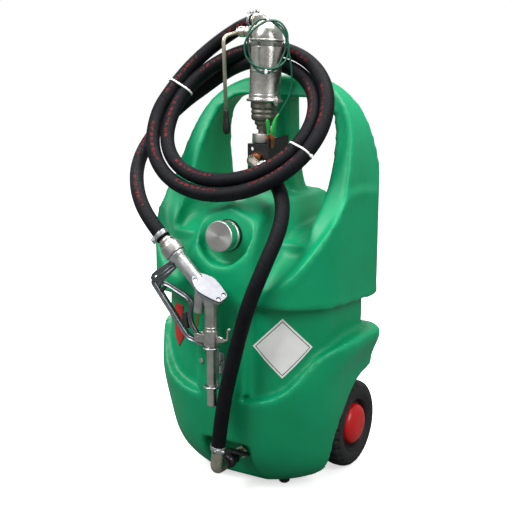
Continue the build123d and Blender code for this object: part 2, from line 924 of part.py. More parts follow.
shaft_plane = Plane(
    origin=pump_plane.origin + pump_plane.z_dir * lever_height,
    x_dir=(0, 1, 0),
    z_dir=(-1, 0, 0),
)
outlet_route = [shaft_plane.origin + Vector(*point) for point in outlet_points]
with BuildPart() as head:
    add(turned(pump_plane, head_outline + outer))
    add(rod(outlet_route, outlet_radius, outlet_bend))
    add(turned(pump_plane, [(0, cylinder_top), (inside, cylinder_top)] + inner), mode=Mode.SUBTRACT)
    add(disc(shaft_plane, shaft_radius + running_clearance, 0, shaft_reach), mode=Mode.SUBTRACT)
save(head.part, "pump_head")
print("pump head volume", round(head.part.volume), "valid", head.part.is_valid)
head_screws = []
for k in range(head_screw_count):
    angle = math.radians((k + 0.5) * 360 / head_screw_count)
    away = pump_plane.x_dir * math.cos(angle) + pump_plane.y_dir * math.sin(angle)
    middle_height = (cylinder_top + head_flange_top) / 2
    middle = pump_plane.origin + away * head_flange_radius + pump_plane.z_dir * middle_height
    head_screws.append(disc(Plane(origin=middle, z_dir=away), head_screw_radius, 0, head_screw_height))
save(Compound(children=head_screws), "pump_head_screws")
print("lever axis", shaft_plane.origin, "pump axis", pump_plane.z_dir)

# Piston with its rack, the seal, and the geared lever shaft
piston_radius = cylinder_bore - piston_clearance
piston_top = piston_low + piston_height
seal_low = piston_low + (piston_height - seal_height) / 2
seal_inner = piston_radius - seal_depth
seal_high = seal_low + seal_height
with BuildPart() as piston:
    add(
        turned(
            pump_plane,
            [
                (0, piston_low),
                (piston_radius - piston_clearance, piston_low),
                (piston_radius - piston_clearance, seal_low),
                (seal_inner, seal_low),
                (seal_inner, seal_high),
                (piston_radius - piston_clearance, seal_high),
                (piston_radius - piston_clearance, piston_top),
                (rod_radius, piston_top),
                (rod_radius, rod_top),
                (0, rod_top),
            ],
        )
    )
    rack_middle = pinion_radius + tooth_depth + soft_clearance + rack_width / 2
    with BuildSketch(pump_plane.offset(rod_top)):
        with Locations((0, rack_middle)):
            Rectangle(pinion_width, rack_width)
    extrude(amount=rack_length)
    with BuildSketch(pump_plane.offset(rod_top - rack_width)):
        with Locations((0, rack_middle / 2)):
            Rectangle(pinion_width, rack_middle + rack_width)
    extrude(amount=rack_width)
save(piston.part, "pump_piston")
save(ring(pump_plane, seal_inner, piston_radius, seal_low, seal_high), "piston_seal")
with BuildPart() as shaft:
    add(disc(shaft_plane, shaft_radius, pinion_width / 2, shaft_reach))
    with BuildSketch(shaft_plane.offset(-pinion_width / 2)):
        Circle(pinion_radius)
        with PolarLocations(pinion_radius, pinion_teeth):
            Rectangle(2 * tooth_depth, tooth_depth)
    extrude(amount=pinion_width)
save(shaft.part, "lever_shaft")
gland_inner = shaft_radius + running_clearance
save(hexagon(shaft_plane, gland_radius, gland_place, gland_place + gland_length, gland_inner), "shaft_gland")

# The bent lever with its grip
hub_low = gland_place + gland_length + soft_clearance
lever_route = [shaft_plane.origin + Vector(*point) for point in lever_points]
with BuildPart() as lever:
    add(hexagon(shaft_plane, lever_hub_radius, hub_low, hub_low + lever_hub_length, shaft_radius))
    add(rod(lever_route, lever_rod_radius, lever_bend))
    add(disc(shaft_plane, shaft_radius, hub_low, shaft_reach), mode=Mode.SUBTRACT)
save(lever.part, "pump_lever")
lever_end = lever_route[-1]
down = direction(lever_route[-2], lever_end)
grip_plane = Plane(origin=lever_end, z_dir=down)
save(turned(grip_plane, [(r * grip_radius, h * grip_length) for r, h in grip_shares]), "lever_grip")

# Suction elbow through the bracket, with its nut
with BuildPart() as elbow:
    add(rod(elbow_route, elbow_radius, elbow_bend))
save(elbow.part, "suction_elbow")
nut_plane = Plane(origin=(pump_x, bracket_front, elbow_height), x_dir=(1, 0, 0), z_dir=(0, -1, 0))
save(hexagon(nut_plane, elbow_nut_radius, 0, elbow_nut_length, elbow_radius), "elbow_nut")

# Delivery hose: a coil of two turns, then the free tail down to the nozzle
side_slope = Vector(0, coil_half_depth, coil_half_height).normalized()
outlet_end = outlet_route[-1]
outlet_direction = direction(outlet_route[-2], outlet_end)
hose_knots = [(outlet_end + outlet_direction * hose_radius, outlet_direction)]
for quarter in range(1, quarters * coil_turns + 1):
    turn = (quarter - 1) // quarters
    angle = math.pi / 2 * quarter
    half_width = coil_half_width - turn * coil_width_step
    half_depth = coil_half_depth - turn * coil_depth_step
    half_height = coil_half_height - turn * coil_height_step
    point = Vector(
        coil_middle[0] - half_width * math.sin(angle),
        coil_middle[1] + turn * coil_shift_step + half_depth * math.cos(angle),
        coil_middle[2] - turn * coil_drop_step + half_height * math.cos(angle),
    )
    heading = Vector(-math.cos(angle), 0, 0) - side_slope * math.sin(angle)
    hose_knots.append((point, heading.normalized()))
hose_knots.append((Vector(tail_points[0]), direction(tail_points[0], tail_points[1])))
save(coil(outlet_end, hose_knots, hose_radius, "delivery coil"), "delivery_coil")
save(cord(tail_points, hose_radius, "delivery tail"), "delivery_tail")
suction_route = [elbow_route[-1]] + list(suction_points)
save(cord(suction_route, hose_radius, "suction hose"), "suction_hose")

# Earthing cable: a hank over the pump's head, then the lead to its clip
view = math.radians(lead_view)
facing = Vector(math.sin(view), -math.cos(view), 0)
across = Vector(math.cos(view), math.sin(view), 0)
half_stack = lead_turns * lead_pitch / 2
hank_height = head_top - hank_drop
hank_axis = pump_plane.origin + pump_plane.z_dir * hank_height
hank_away = cylinder_radius + hank_clearance + lead_radius + half_stack
hank_knots = []
for quarter in range(int(quarters * lead_turns) + 1):
    angle = math.pi / 2 * quarter
    depth = hank_away - half_stack + quarter * lead_pitch / quarters
    hank_knots.append(
        (
            hank_axis
            + facing * depth
            + across * lead_half_width * math.sin(angle)
            + pump_plane.z_dir * lead_half_height * math.cos(angle),
            (across * math.cos(angle) - pump_plane.z_dir * math.sin(angle)).normalized(),
        )
    )
lead_start = hank_knots[-1][0]
hank_knots[-1] = (lead_start, direction(lead_start, lead_points[0]))
hank_start = hank_knots[0][0] - across * lead_radius
save(coil(hank_start, hank_knots, lead_radius, "earthing hank"), "earth_hank")
save(cord([lead_start] + list(lead_points), lead_radius, "earthing lead"), "earth_lead")

# Spring clip that earths the caddy on the bracket's side plate
clip_back = clip_middle - clip_width / 2
clip_front = clip_middle + clip_width / 2
pivot_x = (plate_left + plate_right) / 2
pivot_plane = Plane(origin=(pivot_x, clip_middle, clip_pivot_height), x_dir=(1, 0, 0), z_dir=(0, 1, 0))
left_outer = plate_left - clip_gap - clip_thickness
ear_width = clip_width * clip_ear_share
with BuildPart() as left_jaw:
    add(block((left_outer, clip_back, clip_low), (plate_left - clip_gap, clip_front, clip_top)))
    ear_half = clip_width / 2 - ear_width
    add(disc(pivot_plane, clip_ear_radius + clip_gap, -ear_half, ear_half), mode=Mode.SUBTRACT)
    for low in (-clip_width / 2, ear_half):
        add(disc(pivot_plane, clip_ear_radius, low, low + ear_width))
    add(disc(pivot_plane, clip_pin_radius, -clip_width / 2, clip_width / 2))
save(left_jaw.part, "clip_moving_jaw")
right_inner = plate_right + clip_gap
with BuildPart() as right_jaw:
    with BuildSketch(Plane.XZ.offset(-clip_back)):
        with BuildLine():
            Polyline(
                (right_inner, clip_jaw_low),
                (right_inner + clip_thickness, clip_jaw_low),
                (right_inner + 2 * clip_thickness, clip_pivot_height),
                (right_inner + clip_handle_reach, clip_top),
                (right_inner + clip_handle_reach - 2 * clip_thickness, clip_top),
                (right_inner, clip_pivot_height),
                close=True,
            )
        make_face()
    extrude(amount=-clip_width)
    ear_half = clip_width / 2 - ear_width - clip_gap
    add(disc(pivot_plane, clip_ear_radius, -ear_half, ear_half))
    bore = clip_pin_radius + running_clearance
    add(disc(pivot_plane, bore, -clip_width, clip_width), mode=Mode.SUBTRACT)
    for low in (-clip_width, ear_half):
        add(disc(pivot_plane, clip_ear_radius + clip_gap, low, low + clip_width - ear_half), mode=Mode.SUBTRACT)
save(right_jaw.part, "clip_fixed_jaw")

# Nozzle: body, cover, spout and what is inside
tilt = math.radians(nozzle_incline)
grip_away = (-math.sin(tilt), 0, math.cos(tilt))
nozzle_plane = Plane(origin=nozzle_head, x_dir=(0, 1, 0), z_dir=grip_away)
spout_plane = Plane(origin=(spout_x, spout_y, 0), x_dir=(1, 0, 0), z_dir=(0, 0, 1))
stub_tilt = math.radians(stub_angle)
stub_away = (-math.sin(stub_tilt), 0, -math.cos(stub_tilt))
stub_origin = (nozzle_head[0] - stub_shift, nozzle_head[1], nozzle_head[2])
stub_plane = Plane(origin=stub_origin, x_dir=(0, 1, 0), z_dir=stub_away)
cover_normal = Vector(*cover_facing).normalized()
cover_along = Vector(*cover_direction).normalized()
cover_plane = Plane(
    origin=Vector(*nozzle_head) + cover_normal * cover_offset,
    x_dir=cover_along,
    z_dir=cover_normal,
)


def cover_outline(plane, scale):
    with BuildSketch(plane) as outline:
        with BuildLine():
            Polyline(
                [(x * cover_length * scale, y * cover_half_width * scale) for x, y in cover_shares],
                close=True,
            )
        make_face()
        fillet(outline.vertices(), cover_corner * scale)
    return outline.sketch


grip_outline = [(0, 0)]
for radius, height in zip(grip_radii, grip_steps):
    grip_outline.append((radius, height))
grip_outline.append((0, grip_steps[-1]))
grip_outline[1] = (grip_radii[0], 0)
with BuildPart() as nozzle_body:
    add(turned(nozzle_plane, grip_outline))
    loft([cover_outline(cover_plane, 1), cover_outline(cover_plane.offset(-head_depth), head_share)])
    add(disc(stub_plane, stub_radius, 0, stub_length))
    add(disc(spout_plane, spout_collar_radius + cover_thickness, spout_top - cover_thickness, nozzle_head[2]))
    extrude(cover_outline(cover_plane, 1), amount=overrun, mode=Mode.SUBTRACT)
    add(disc(nozzle_plane, nozzle_bore, 2 * cover_thickness, grip_steps[-1]), mode=Mode.SUBTRACT)
    add(disc(stub_plane, stub_bore, cover_thickness, stub_length - cover_thickness), mode=Mode.SUBTRACT)
    loose = stem_radius + running_clearance
    add(disc(stub_plane, loose, 0, stub_length + cover_thickness), mode=Mode.SUBTRACT)
save(nozzle_body.part, "nozzle_body")
with BuildPart() as cover:
    extrude(cover_outline(cover_plane, 1), amount=cover_thickness)
    chamfer(cover.faces().sort_by(Axis(cover_plane.origin, cover_normal))[-1].edges(), cover_edge)
save(cover.part, "nozzle_cover")
screws = []
for x, y in cover_screw_shares:
    place = cover_plane.from_local_coords((x * cover_length, y * cover_half_width, cover_thickness))
    screws.append(disc(Plane(origin=place, z_dir=cover_normal), cover_screw_radius, 0, cover_screw_height))
save(Compound(children=screws), "cover_screws")
poppet_low = 2 * cover_thickness
with BuildPart() as poppet:
    add(disc(stub_plane, poppet_radius, poppet_low, poppet_low + poppet_height))
    add(disc(stub_plane, stem_radius, poppet_low, stem_end))
save(poppet.part, "nozzle_valve")
spring_low = poppet_low + poppet_height + cover_edge
with BuildPart() as spring:
    with BuildLine() as path:
        Helix(
            pitch=spring_pitch,
            height=stub_length - cover_thickness - spring_low - cover_edge,
            radius=spring_radius,
            center=tuple(stub_plane.origin + stub_plane.z_dir * spring_low),
            direction=tuple(stub_plane.z_dir),
        )
    wire = Wire(path.edges())
    with BuildSketch(Plane(origin=wire @ 0, z_dir=wire % 0)):
        Circle(spring_wire)
    sweep(path=wire, is_frenet=True)
save(spring.part, "nozzle_spring")

lug_half = trigger_width / 2 + clip_gap
pivot = (trigger_pivot[0], nozzle_plane.origin.Y + guard_shift, trigger_pivot[1])
trigger_plane = Plane(origin=pivot, x_dir=(1, 0, 0), z_dir=(0, 1, 0))
with BuildPart() as spout:
    add(
        turned(
            spout_plane,
            [
                (spout_bore, spout_top - cover_thickness),
                (spout_thick_radius, spout_top - cover_thickness),
                (spout_thick_radius, collar_top),
                (spout_collar_radius, collar_top),
                (spout_collar_radius, collar_low),
                (spout_radius, collar_low),
                (spout_radius, spout_end),
                (spout_bore, spout_end),
            ],
        )
    )
    lug_reach = trigger_boss_radius + lug_thickness / 2
    for low in (-lug_half - lug_thickness, lug_half):
        add(disc(trigger_plane, lug_reach, low, low + lug_thickness))
        add(
            block(
                (pivot[0], pivot[1] + low, pivot[2] - lug_reach),
                (spout_x - spout_bore - running_clearance, pivot[1] + low + lug_thickness, pivot[2] + lug_reach),
            )
        )
    add(rod(hook_points, hook_radius, hook_radius * 2))
    add(disc(spout_plane, spout_bore, spout_end, spout_top), mode=Mode.SUBTRACT)
    add(disc(trigger_plane, trigger_pin_radius, -overrun, overrun), mode=Mode.SUBTRACT)
save(spout.part, "nozzle_spout")
pin_half = lug_half + lug_thickness
save(disc(trigger_plane, trigger_pin_radius, -pin_half, pin_half), "trigger_pin")
with BuildPart() as trigger:
    with BuildSketch(Plane.XZ.offset(-pivot[1] - trigger_width / 2)):
        with BuildLine():
            FilletPolyline(*trigger_points, trigger_pivot, radius=trigger_bend)
        trace(line_width=trigger_thickness)
    extrude(amount=trigger_width)
    add(disc(trigger_plane, trigger_boss_radius, -trigger_width / 2, trigger_width / 2))
    bore = trigger_pin_radius + running_clearance
    add(disc(trigger_plane, bore, -overrun, overrun), mode=Mode.SUBTRACT)
save(trigger.part, "nozzle_trigger")
with BuildPart() as guard:
    with BuildSketch(Plane.XZ.offset(-pivot[1] - guard_width / 2)):
        with BuildLine():
            FilletPolyline(*guard_points, radius=guard_bend)
        trace(line_width=guard_thickness)
    extrude(amount=guard_width)
    add(disc(spout_plane, spout_collar_radius, 0, shelf_height), mode=Mode.SUBTRACT)
    add(turned(nozzle_plane, grip_outline), mode=Mode.SUBTRACT)
save(guard.part, "nozzle_guard")
swivel_outline = [(nozzle_bore, swivel_steps[0] + soft_clearance)]
for radius, height in zip(swivel_radii, swivel_steps):
    swivel_outline.append((radius, max(height, swivel_steps[0] + soft_clearance)))
swivel_outline += [(barb_radius + cover_edge, swivel_steps[-1]), (barb_radius + cover_edge, hose_start)]
swivel_outline.append((nozzle_bore, hose_start))
save(turned(nozzle_plane, swivel_outline), "inlet_swivel")
print("tail should end at", nozzle_plane.origin + nozzle_plane.z_dir * hose_start)
print("trigger pivot", pivot, "stub", stub_away)

# Wire holder on the nose that the spout stands in
ring_top = spout_plane.offset(holder_top)
ring_low = spout_plane.offset(holder_low)
plate_y = -tank_front - holder_plate_thickness
stand = spout_y + holder_ring_radius
with BuildPart() as holder:
    for plane in (ring_top, ring_low):
        with BuildSketch(
            Plane(origin=plane.origin + Vector(holder_ring_radius, 0, 0), x_dir=(1, 0, 0), z_dir=(0, 1, 0))
        ):
            Circle(holder_wire)
        revolve(axis=Axis(plane.origin, (0, 0, 1)))
    for side in (-1, 1):
        x = spout_x + side * holder_ring_radius / 3
        top = (x, stand, holder_top)
        low = (x, stand, holder_low)
        add(rod([top, low], holder_wire, 0))
        middle = holder_plate_low + holder_plate_height / 2
        add(rod([(x, stand, middle), (x, plate_y, middle)], holder_wire, 0))
    half = holder_plate_width / 2
    add(
        block(
            (spout_x - half, plate_y, holder_plate_low),
            (spout_x + half, -tank_front, holder_plate_low + holder_plate_height),
        )
    )
save(holder.part, "nozzle_holder")

# Bare tag and plain label on the waist
corner_x = tank_half_width - waist_inset - waist_corner_radius
corner_y = waist_corner_radius - tank_front + waist_inset


def waist_plane(side, degrees, height):
    # A plane that lies on the waist's rounded front corner
    angle = math.radians(degrees)
    away = Vector(side * math.sin(angle), -math.cos(angle), 0)
    origin = Vector(side * corner_x, corner_y, height) + away * waist_corner_radius
    return Plane(origin=origin, x_dir=(math.cos(angle), side * math.sin(angle), 0), z_dir=away)


with BuildPart() as tag:
    with BuildSketch(waist_plane(-1, tag_angle, tag_middle).offset(clip_gap)):
        with BuildLine():
            Polyline(
                (-tag_width / 2, tag_height / 2),
                (tag_width / 2, tag_height / 2),
                (tag_width / 2, tag_point - tag_height / 2),
                (0, -tag_height / 2),
                (-tag_width / 2, tag_point - tag_height / 2),
                close=True,
            )
        make_face()
    extrude(amount=tag_thickness)
save(tag.part, "red_tag")


def waist_outline(away):
    # The waist's outline some way out of its wall
    reach = away - waist_inset
    half_width = tank_half_width + reach
    radius = waist_corner_radius + away
    return plan_section(label_height - label_side, half_width, tank_front + reach, tank_rear, radius, radius)


with BuildPart() as label:
    with BuildSketch(waist_plane(1, label_angle, label_height)):
        Rectangle(label_side, label_side, rotation=45)
    extrude(amount=label_side, both=True)
    band = waist_outline(clip_gap + label_thickness) - waist_outline(clip_gap)
    extrude(band, amount=2 * label_side, mode=Mode.INTERSECT)
save(label.part, "waist_label")

# Drain: nipple, ball valve and the elbow that the suction hose ends on
with BuildPart() as nipple:
    add(ring(drain_plane, nipple_bore, nipple_radius, -valve_rear, recess_back + tank_wall))
    lock_low = recess_back - lock_nut_length
    add(hexagon(drain_plane, lock_nut_radius, lock_low, recess_back, nipple_bore))
save(nipple.part, "drain_nipple")
handle_y = -(valve_front + valve_rear) / 2
stem_plane = Plane(origin=(drain_x, handle_y, drain_height), x_dir=(1, 0, 0), z_dir=(0, 0, 1))
with BuildPart() as valve_body:
    add(hexagon(drain_plane, valve_end_radius, -valve_front, -valve_rear, 0))
    with Locations((drain_x, handle_y, drain_height)):
        Sphere(valve_radius)
    add(disc(stem_plane, valve_stem_radius * 2, 0, valve_stem_top - valve_lever_thickness - soft_clearance))
    add(disc(drain_plane, ball_bore, -valve_front, -valve_rear), mode=Mode.SUBTRACT)
    with Locations((drain_x, handle_y, drain_height)):
        Sphere(ball_radius + running_clearance, mode=Mode.SUBTRACT)
    add(disc(stem_plane, valve_stem_radius + running_clearance, 0, valve_stem_top), mode=Mode.SUBTRACT)
save(valve_body.part, "valve_body")
with BuildPart() as ball:
    with Locations((drain_x, handle_y, drain_height)):
        Sphere(ball_radius)
    add(disc(stem_plane, valve_stem_radius, 0, valve_stem_top))
    add(disc(drain_plane, ball_bore, -valve_front, -valve_rear), mode=Mode.SUBTRACT)
save(ball.part, "valve_ball")
with BuildPart() as lever_plate:
    with BuildSketch(stem_plane.offset(valve_stem_top - valve_lever_thickness)):
        with Locations((valve_lever_length / 2, 0)):
            SlotOverall(valve_lever_length + valve_lever_width, valve_lever_width)
    extrude(amount=valve_lever_thickness)
    add(disc(stem_plane, valve_stem_radius, 0, 2 * valve_stem_top), mode=Mode.SUBTRACT)
save(lever_plate.part, "valve_handle")
hose_end = suction_points[-1]
with BuildPart() as drain_elbow:
    add(
        rod(
            [hose_end, (drain_x, -drain_front, drain_height), (drain_x, -valve_front, drain_height)],
            drain_elbow_radius,
            drain_elbow_bend,
        )
    )
save(drain_elbow.part, "drain_elbow")

# Worm-drive clamps on the four hose ends, and the ties round the bundles


def hose_clamp(start, heading):
    plane = Plane(origin=Vector(start) + heading * clamp_inset, z_dir=heading)
    inner = hose_radius + soft_clearance
    with BuildPart() as clamp:
        add(ring(plane, inner, inner + clamp_band, 0, clamp_width))
        middle = plane.from_local_coords((inner + clamp_band + clamp_screw_radius, 0, clamp_width / 2))
        axis = Plane(origin=middle, z_dir=plane.y_dir)
        add(disc(axis, clamp_screw_radius + clamp_band, -clamp_screw_length / 2, clamp_screw_length / 2))
        add(disc(plane, inner, -clamp_width, 2 * clamp_width), mode=Mode.SUBTRACT)
    return clamp.part


hose_clamps = [
    hose_clamp(outlet_end, outlet_direction),
    hose_clamp(suction_route[0], direction(suction_route[0], suction_route[1])),
    hose_clamp(suction_route[-1], direction(suction_route[-1], suction_route[-2])),
    hose_clamp(tail_points[-1], direction(tail_points[-1], tail_points[-2])),
]
save(Compound(children=hose_clamps), "hose_clamps")

# Ties: two round pairs of hose turns and two round the earthing hank


def strand(knot, share):
    # A point on the arc that ends at the next knot, and the hose's direction there
    middle, through = biarc(*hose_knots[knot], *hose_knots[knot + 1])
    arc = TangentArc(middle, hose_knots[knot + 1][0], tangent=through)
    return arc @ share, arc % share


def hose_tie(first, second, share):
    a, ahead = strand(first, share)
    b, along = strand(second, share)
    middle = (a + b) / 2
    normal = (ahead + along).normalized()
    a += ahead * (middle - a).dot(normal) / ahead.dot(normal)
    b += along * (middle - b).dot(normal) / along.dot(normal)
    plane = Plane(origin=middle, x_dir=b - a, z_dir=normal)
    inner = 2 * (hose_radius + tie_clearance)
    with BuildPart() as tie:
        with BuildSketch(plane.offset(-tie_width / 2)):
            SlotCenterToCenter((b - a).length, inner + 2 * tie_thickness)
            SlotCenterToCenter((b - a).length, inner, mode=Mode.SUBTRACT)
        extrude(amount=tie_width)
    return tie.part


def hank_tie(middle, depth):
    with BuildPart() as tie:
        with BuildSketch(Plane(origin=middle, x_dir=facing, z_dir=across).offset(-tie_width / 2)):
            inner = 2 * (lead_radius + tie_clearance)
            Rectangle(depth + inner + 2 * tie_thickness, inner + 2 * tie_thickness)
            Rectangle(depth + inner, inner, mode=Mode.SUBTRACT)
        extrude(amount=tie_width)
    return tie.part


stack = int(lead_turns) * lead_pitch
top_middle = hank_knots[0][0] + facing * stack / 2
low_middle = hank_knots[2][0] + facing * (stack - lead_pitch) / 2
ties = [
    hose_tie(0, 4, upper_tie_share),
    hose_tie(2, 6, lower_tie_share),
    hank_tie(top_middle, stack),
    hank_tie(low_middle, stack - lead_pitch),
]
save(Compound(children=ties), "zip_ties")
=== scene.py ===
import json
import math

import bmesh
import bpy
import numpy as np
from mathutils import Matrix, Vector
from mathutils.bvhtree import BVHTree


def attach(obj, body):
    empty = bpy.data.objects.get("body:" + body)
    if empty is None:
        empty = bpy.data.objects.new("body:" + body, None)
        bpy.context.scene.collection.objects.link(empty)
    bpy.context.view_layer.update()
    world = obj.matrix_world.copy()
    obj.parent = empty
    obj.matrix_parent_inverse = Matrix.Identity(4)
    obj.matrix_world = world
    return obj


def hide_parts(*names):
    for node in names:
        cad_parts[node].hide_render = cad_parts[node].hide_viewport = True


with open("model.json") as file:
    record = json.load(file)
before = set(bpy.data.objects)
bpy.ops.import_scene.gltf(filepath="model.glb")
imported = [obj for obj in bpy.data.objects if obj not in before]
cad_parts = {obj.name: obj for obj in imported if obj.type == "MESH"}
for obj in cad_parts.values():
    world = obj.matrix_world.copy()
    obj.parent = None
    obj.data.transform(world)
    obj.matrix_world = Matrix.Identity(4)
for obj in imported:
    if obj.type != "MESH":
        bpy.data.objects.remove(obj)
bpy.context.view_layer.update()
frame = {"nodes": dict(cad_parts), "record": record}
nodes = frame["nodes"]
scene = bpy.context.scene
print("frame loaded:", len(nodes), "nodes")

# camera, a little above the pump and looking down at the caddy

camera = {
    "place": (1.1743, -1.9543, 1.050),
    "pitch": 76.5,  # degrees from straight down
    "turn": 31.0,  # degrees round the caddy
    "lens": 75.6,  # mm on a 36 mm sensor
}


def makeCamera():
    data = bpy.data.cameras.new("caddyCamera")
    data.sensor_width = 36
    data.lens = camera["lens"]
    obj = bpy.data.objects.new("caddyCamera", data)
    obj.location = camera["place"]
    obj.rotation_euler = (math.radians(camera["pitch"]), 0, math.radians(camera["turn"]))
    scene.collection.objects.link(obj)
    scene.camera = obj


makeCamera()

# small helpers: colours, shader nodes and meshes


def fromHex(text):
    # sRGB hex to the linear colour that the shader wants
    parts = [int(text[i:i + 2], 16) / 255 for i in (1, 3, 5)]
    return tuple(c / 12.92 if c <= 0.04045 else ((c + 0.055) / 1.055) ** 2.4 for c in parts) + (1.0,)


def addNode(tree, kind, settings=None, links=None):
    # one node with its settings and the sockets that feed it
    node = tree.nodes.new(kind)
    for name, value in (settings or {}).items():
        if isinstance(name, int) or name in node.inputs:
            node.inputs[name].default_value = value
        else:
            setattr(node, name, value)
    for name, source in (links or {}).items():
        tree.links.new(source, node.inputs[name])
    return node


def newMaterial(name, settings):
    material = bpy.data.materials.new(name)
    material.use_nodes = True
    tree = material.node_tree
    shader = tree.nodes["Principled BSDF"]
    for key, value in settings.items():
        shader.inputs[key].default_value = value
    return material, tree, shader


def place(tree, what="Object"):
    return addNode(tree, "ShaderNodeTexCoord").outputs[what]


def noise(tree, where, scale, detail=3.0, rough=0.55):
    settings = {"Scale": scale, "Detail": detail, "Roughness": rough}
    return addNode(tree, "ShaderNodeTexNoise", settings, {"Vector": where}).outputs["Fac"]


def ramp(tree, source, stops):
    # stops are (position, colour or grey)
    node = addNode(tree, "ShaderNodeValToRGB", None, {"Fac": source})
    band = node.color_ramp
    while len(band.elements) < len(stops):
        band.elements.new(0.5)
    for element, (spot, colour) in zip(band.elements, stops):
        element.position = spot
        element.color = fromHex(colour) if isinstance(colour, str) else (colour, colour, colour, 1)
    return node.outputs["Color"]


def maths(tree, operation, a, b=0.0, c=0.0):
    node = addNode(tree, "ShaderNodeMath", {"operation": operation})
    for i, value in enumerate((a, b, c)):
        if isinstance(value, (int, float)):
            node.inputs[i].default_value = value
        else:
            tree.links.new(value, node.inputs[i])
    return node.outputs[0]


def mixed(tree, share, a, b):
    # share of b over a, both colours
    node = addNode(tree, "ShaderNodeMix", {"data_type": "RGBA"})
    for i, value in ((0, share), (6, a), (7, b)):
        if isinstance(value, str):
            node.inputs[i].default_value = fromHex(value)
        elif isinstance(value, (int, float)):
            node.inputs[i].default_value = value
        else:
            tree.links.new(value, node.inputs[i])
    return node.outputs[2]


def bump(tree, shader, height, distance, strength=1.0, edge=0.0):
    # distance in metres; edge rounds the hard edges by that radius
    settings = {"Distance": distance, "Strength": strength}
    links = {"Height": height}
    if edge:
        soft = addNode(tree, "ShaderNodeBevel", {"samples": 4, "Radius": edge})
        links["Normal"] = soft.outputs[0]
    node = addNode(tree, "ShaderNodeBump", settings, links)
    tree.links.new(node.outputs[0], shader.inputs["Normal"])


def newPiece(name, mesh, body, material):
    obj = bpy.data.objects.new(name, mesh)
    scene.collection.objects.link(obj)
    mesh.materials.clear()
    mesh.materials.append(material)
    mesh.polygons.foreach_set("use_smooth", [True] * len(mesh.polygons))
    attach(obj, body)
    return obj


def meshOf(bm, name="part"):
    mesh = bpy.data.meshes.new(name)
    bm.to_mesh(mesh)
    bm.free()
    return mesh


def frozen(obj):
    # the mesh that a draft object comes to, once the draft is taken away
    scene.collection.objects.link(obj)
    bpy.context.view_layer.update()
    mesh = bpy.data.meshes.new_from_object(obj.evaluated_get(bpy.context.evaluated_depsgraph_get()))
    bpy.data.objects.remove(obj)
    return mesh


def smoothed(verts, edges, passes):
    # pairs of passes that round the skin without shrinking it
    pull, push = 0.5, -0.52
    count = np.bincount(edges.ravel(), minlength=len(verts))[:, None].clip(1)
    for i in range(2 * passes):
        total = np.zeros_like(verts)
        for axis in range(3):
            total[:, axis] = (
                np.bincount(edges[:, 0], verts[edges[:, 1], axis], len(verts))
                + np.bincount(edges[:, 1], verts[edges[:, 0], axis], len(verts))
            )
        verts = verts + (total / count - verts) * (pull if i % 2 == 0 else push)
    return verts


# small parts are drawn in millimetres and made in metres

mm = 0.001


def turnsOf(sides):
    return [k / sides * 2 * math.pi for k in range(sides)]


def eased(outline, radius, closed=False, steps=3):
    # the outline with every corner rounded
    out = []
    for i, here in enumerate(outline):
        here = Vector(here)
        if not closed and i in (0, len(outline) - 1):
            out.append(here)
            continue
        before = Vector(outline[i - 1]) - here
        after = Vector(outline[(i + 1) % len(outline)]) - here
        room = min(radius, before.length * 0.45, after.length * 0.45)
        a, b = here + before.normalized() * room, here + after.normalized() * room
        for k in range(steps + 1):
            t = k / steps
            out.append(a * (1 - t) ** 2 + here * 2 * t * (1 - t) + b * t ** 2)
    return out


def meshFrom(rings, loop=False):
    # skin over rings of as many points each; a ring of one point is a tip
    bm = bmesh.new()
    made = [[bm.verts.new(Vector(p) * mm) for p in ring] for ring in rings]
    pairs = list(zip(made, made[1:])) + ([(made[-1], made[0])] if loop else [])
    for low, high in pairs:
        count = max(len(low), len(high))
        for k in range(count):
            n = (k + 1) % count
            square = [low[k % len(low)], low[n % len(low)], high[n % len(high)], high[k % len(high)]]
            corners = list(dict.fromkeys(square))
            if len(corners) > 2:
                bm.faces.new(corners)
    if not loop:
        for ring in (made[0], made[-1]):
            if len(ring) > 2:
                bm.faces.new(ring)
    bmesh.ops.recalc_face_normals(bm, faces=bm.faces)
    return meshOf(bm)


def turned(outline, origin, axis, ease=0.8, sides=72, loop=False, bumps=None):
    # (radius, height) pairs turned round an axis; bumps scales the radius at an angle and height
    axis = Vector(axis).normalized()
    first = axis.orthogonal().normalized()
    second = axis.cross(first)
    rings = []
    for radius, height in eased(outline, ease, loop):
        middle = Vector(origin) + axis * height
        if radius < 1e-4:
            rings.append([middle])
            continue
        ring = []
        for angle in turnsOf(sides):
            reach = radius * (bumps(angle, radius, height) if bumps else 1)
            ring.append(middle + (first * math.cos(angle) + second * math.sin(angle)) * reach)
        rings.append(ring)
    return meshFrom(rings, loop)


def bar(points, section, flat, ease):
    # carries a flat section (across, along flat) down a route that stays square to flat
    route = eased(points, ease, steps=8)
    flat = Vector(flat).normalized()
    rings = []
    for i, here in enumerate(route):
        before = route[max(i - 1, 0)]
        after = route[min(i + 1, len(route) - 1)]
        side = flat.cross(after - before).normalized()
        rings.append([here + side * a + flat * b for a, b in section])
    return meshFrom(rings)


def rod(points, radius, ease=6, sides=24):
    # a round bar with rounded bends
    route = eased(points, ease, steps=8)
    side = (route[1] - route[0]).orthogonal().normalized()
    rings = []
    for i, here in enumerate(route):
        way = (route[min(i + 1, len(route) - 1)] - route[max(i - 1, 0)]).normalized()
        side = (side - way * side.dot(way)).normalized()
        other = way.cross(side)
        rings.append([here + (side * math.cos(t) + other * math.sin(t)) * radius for t in turnsOf(sides)])
    return meshFrom(rings)


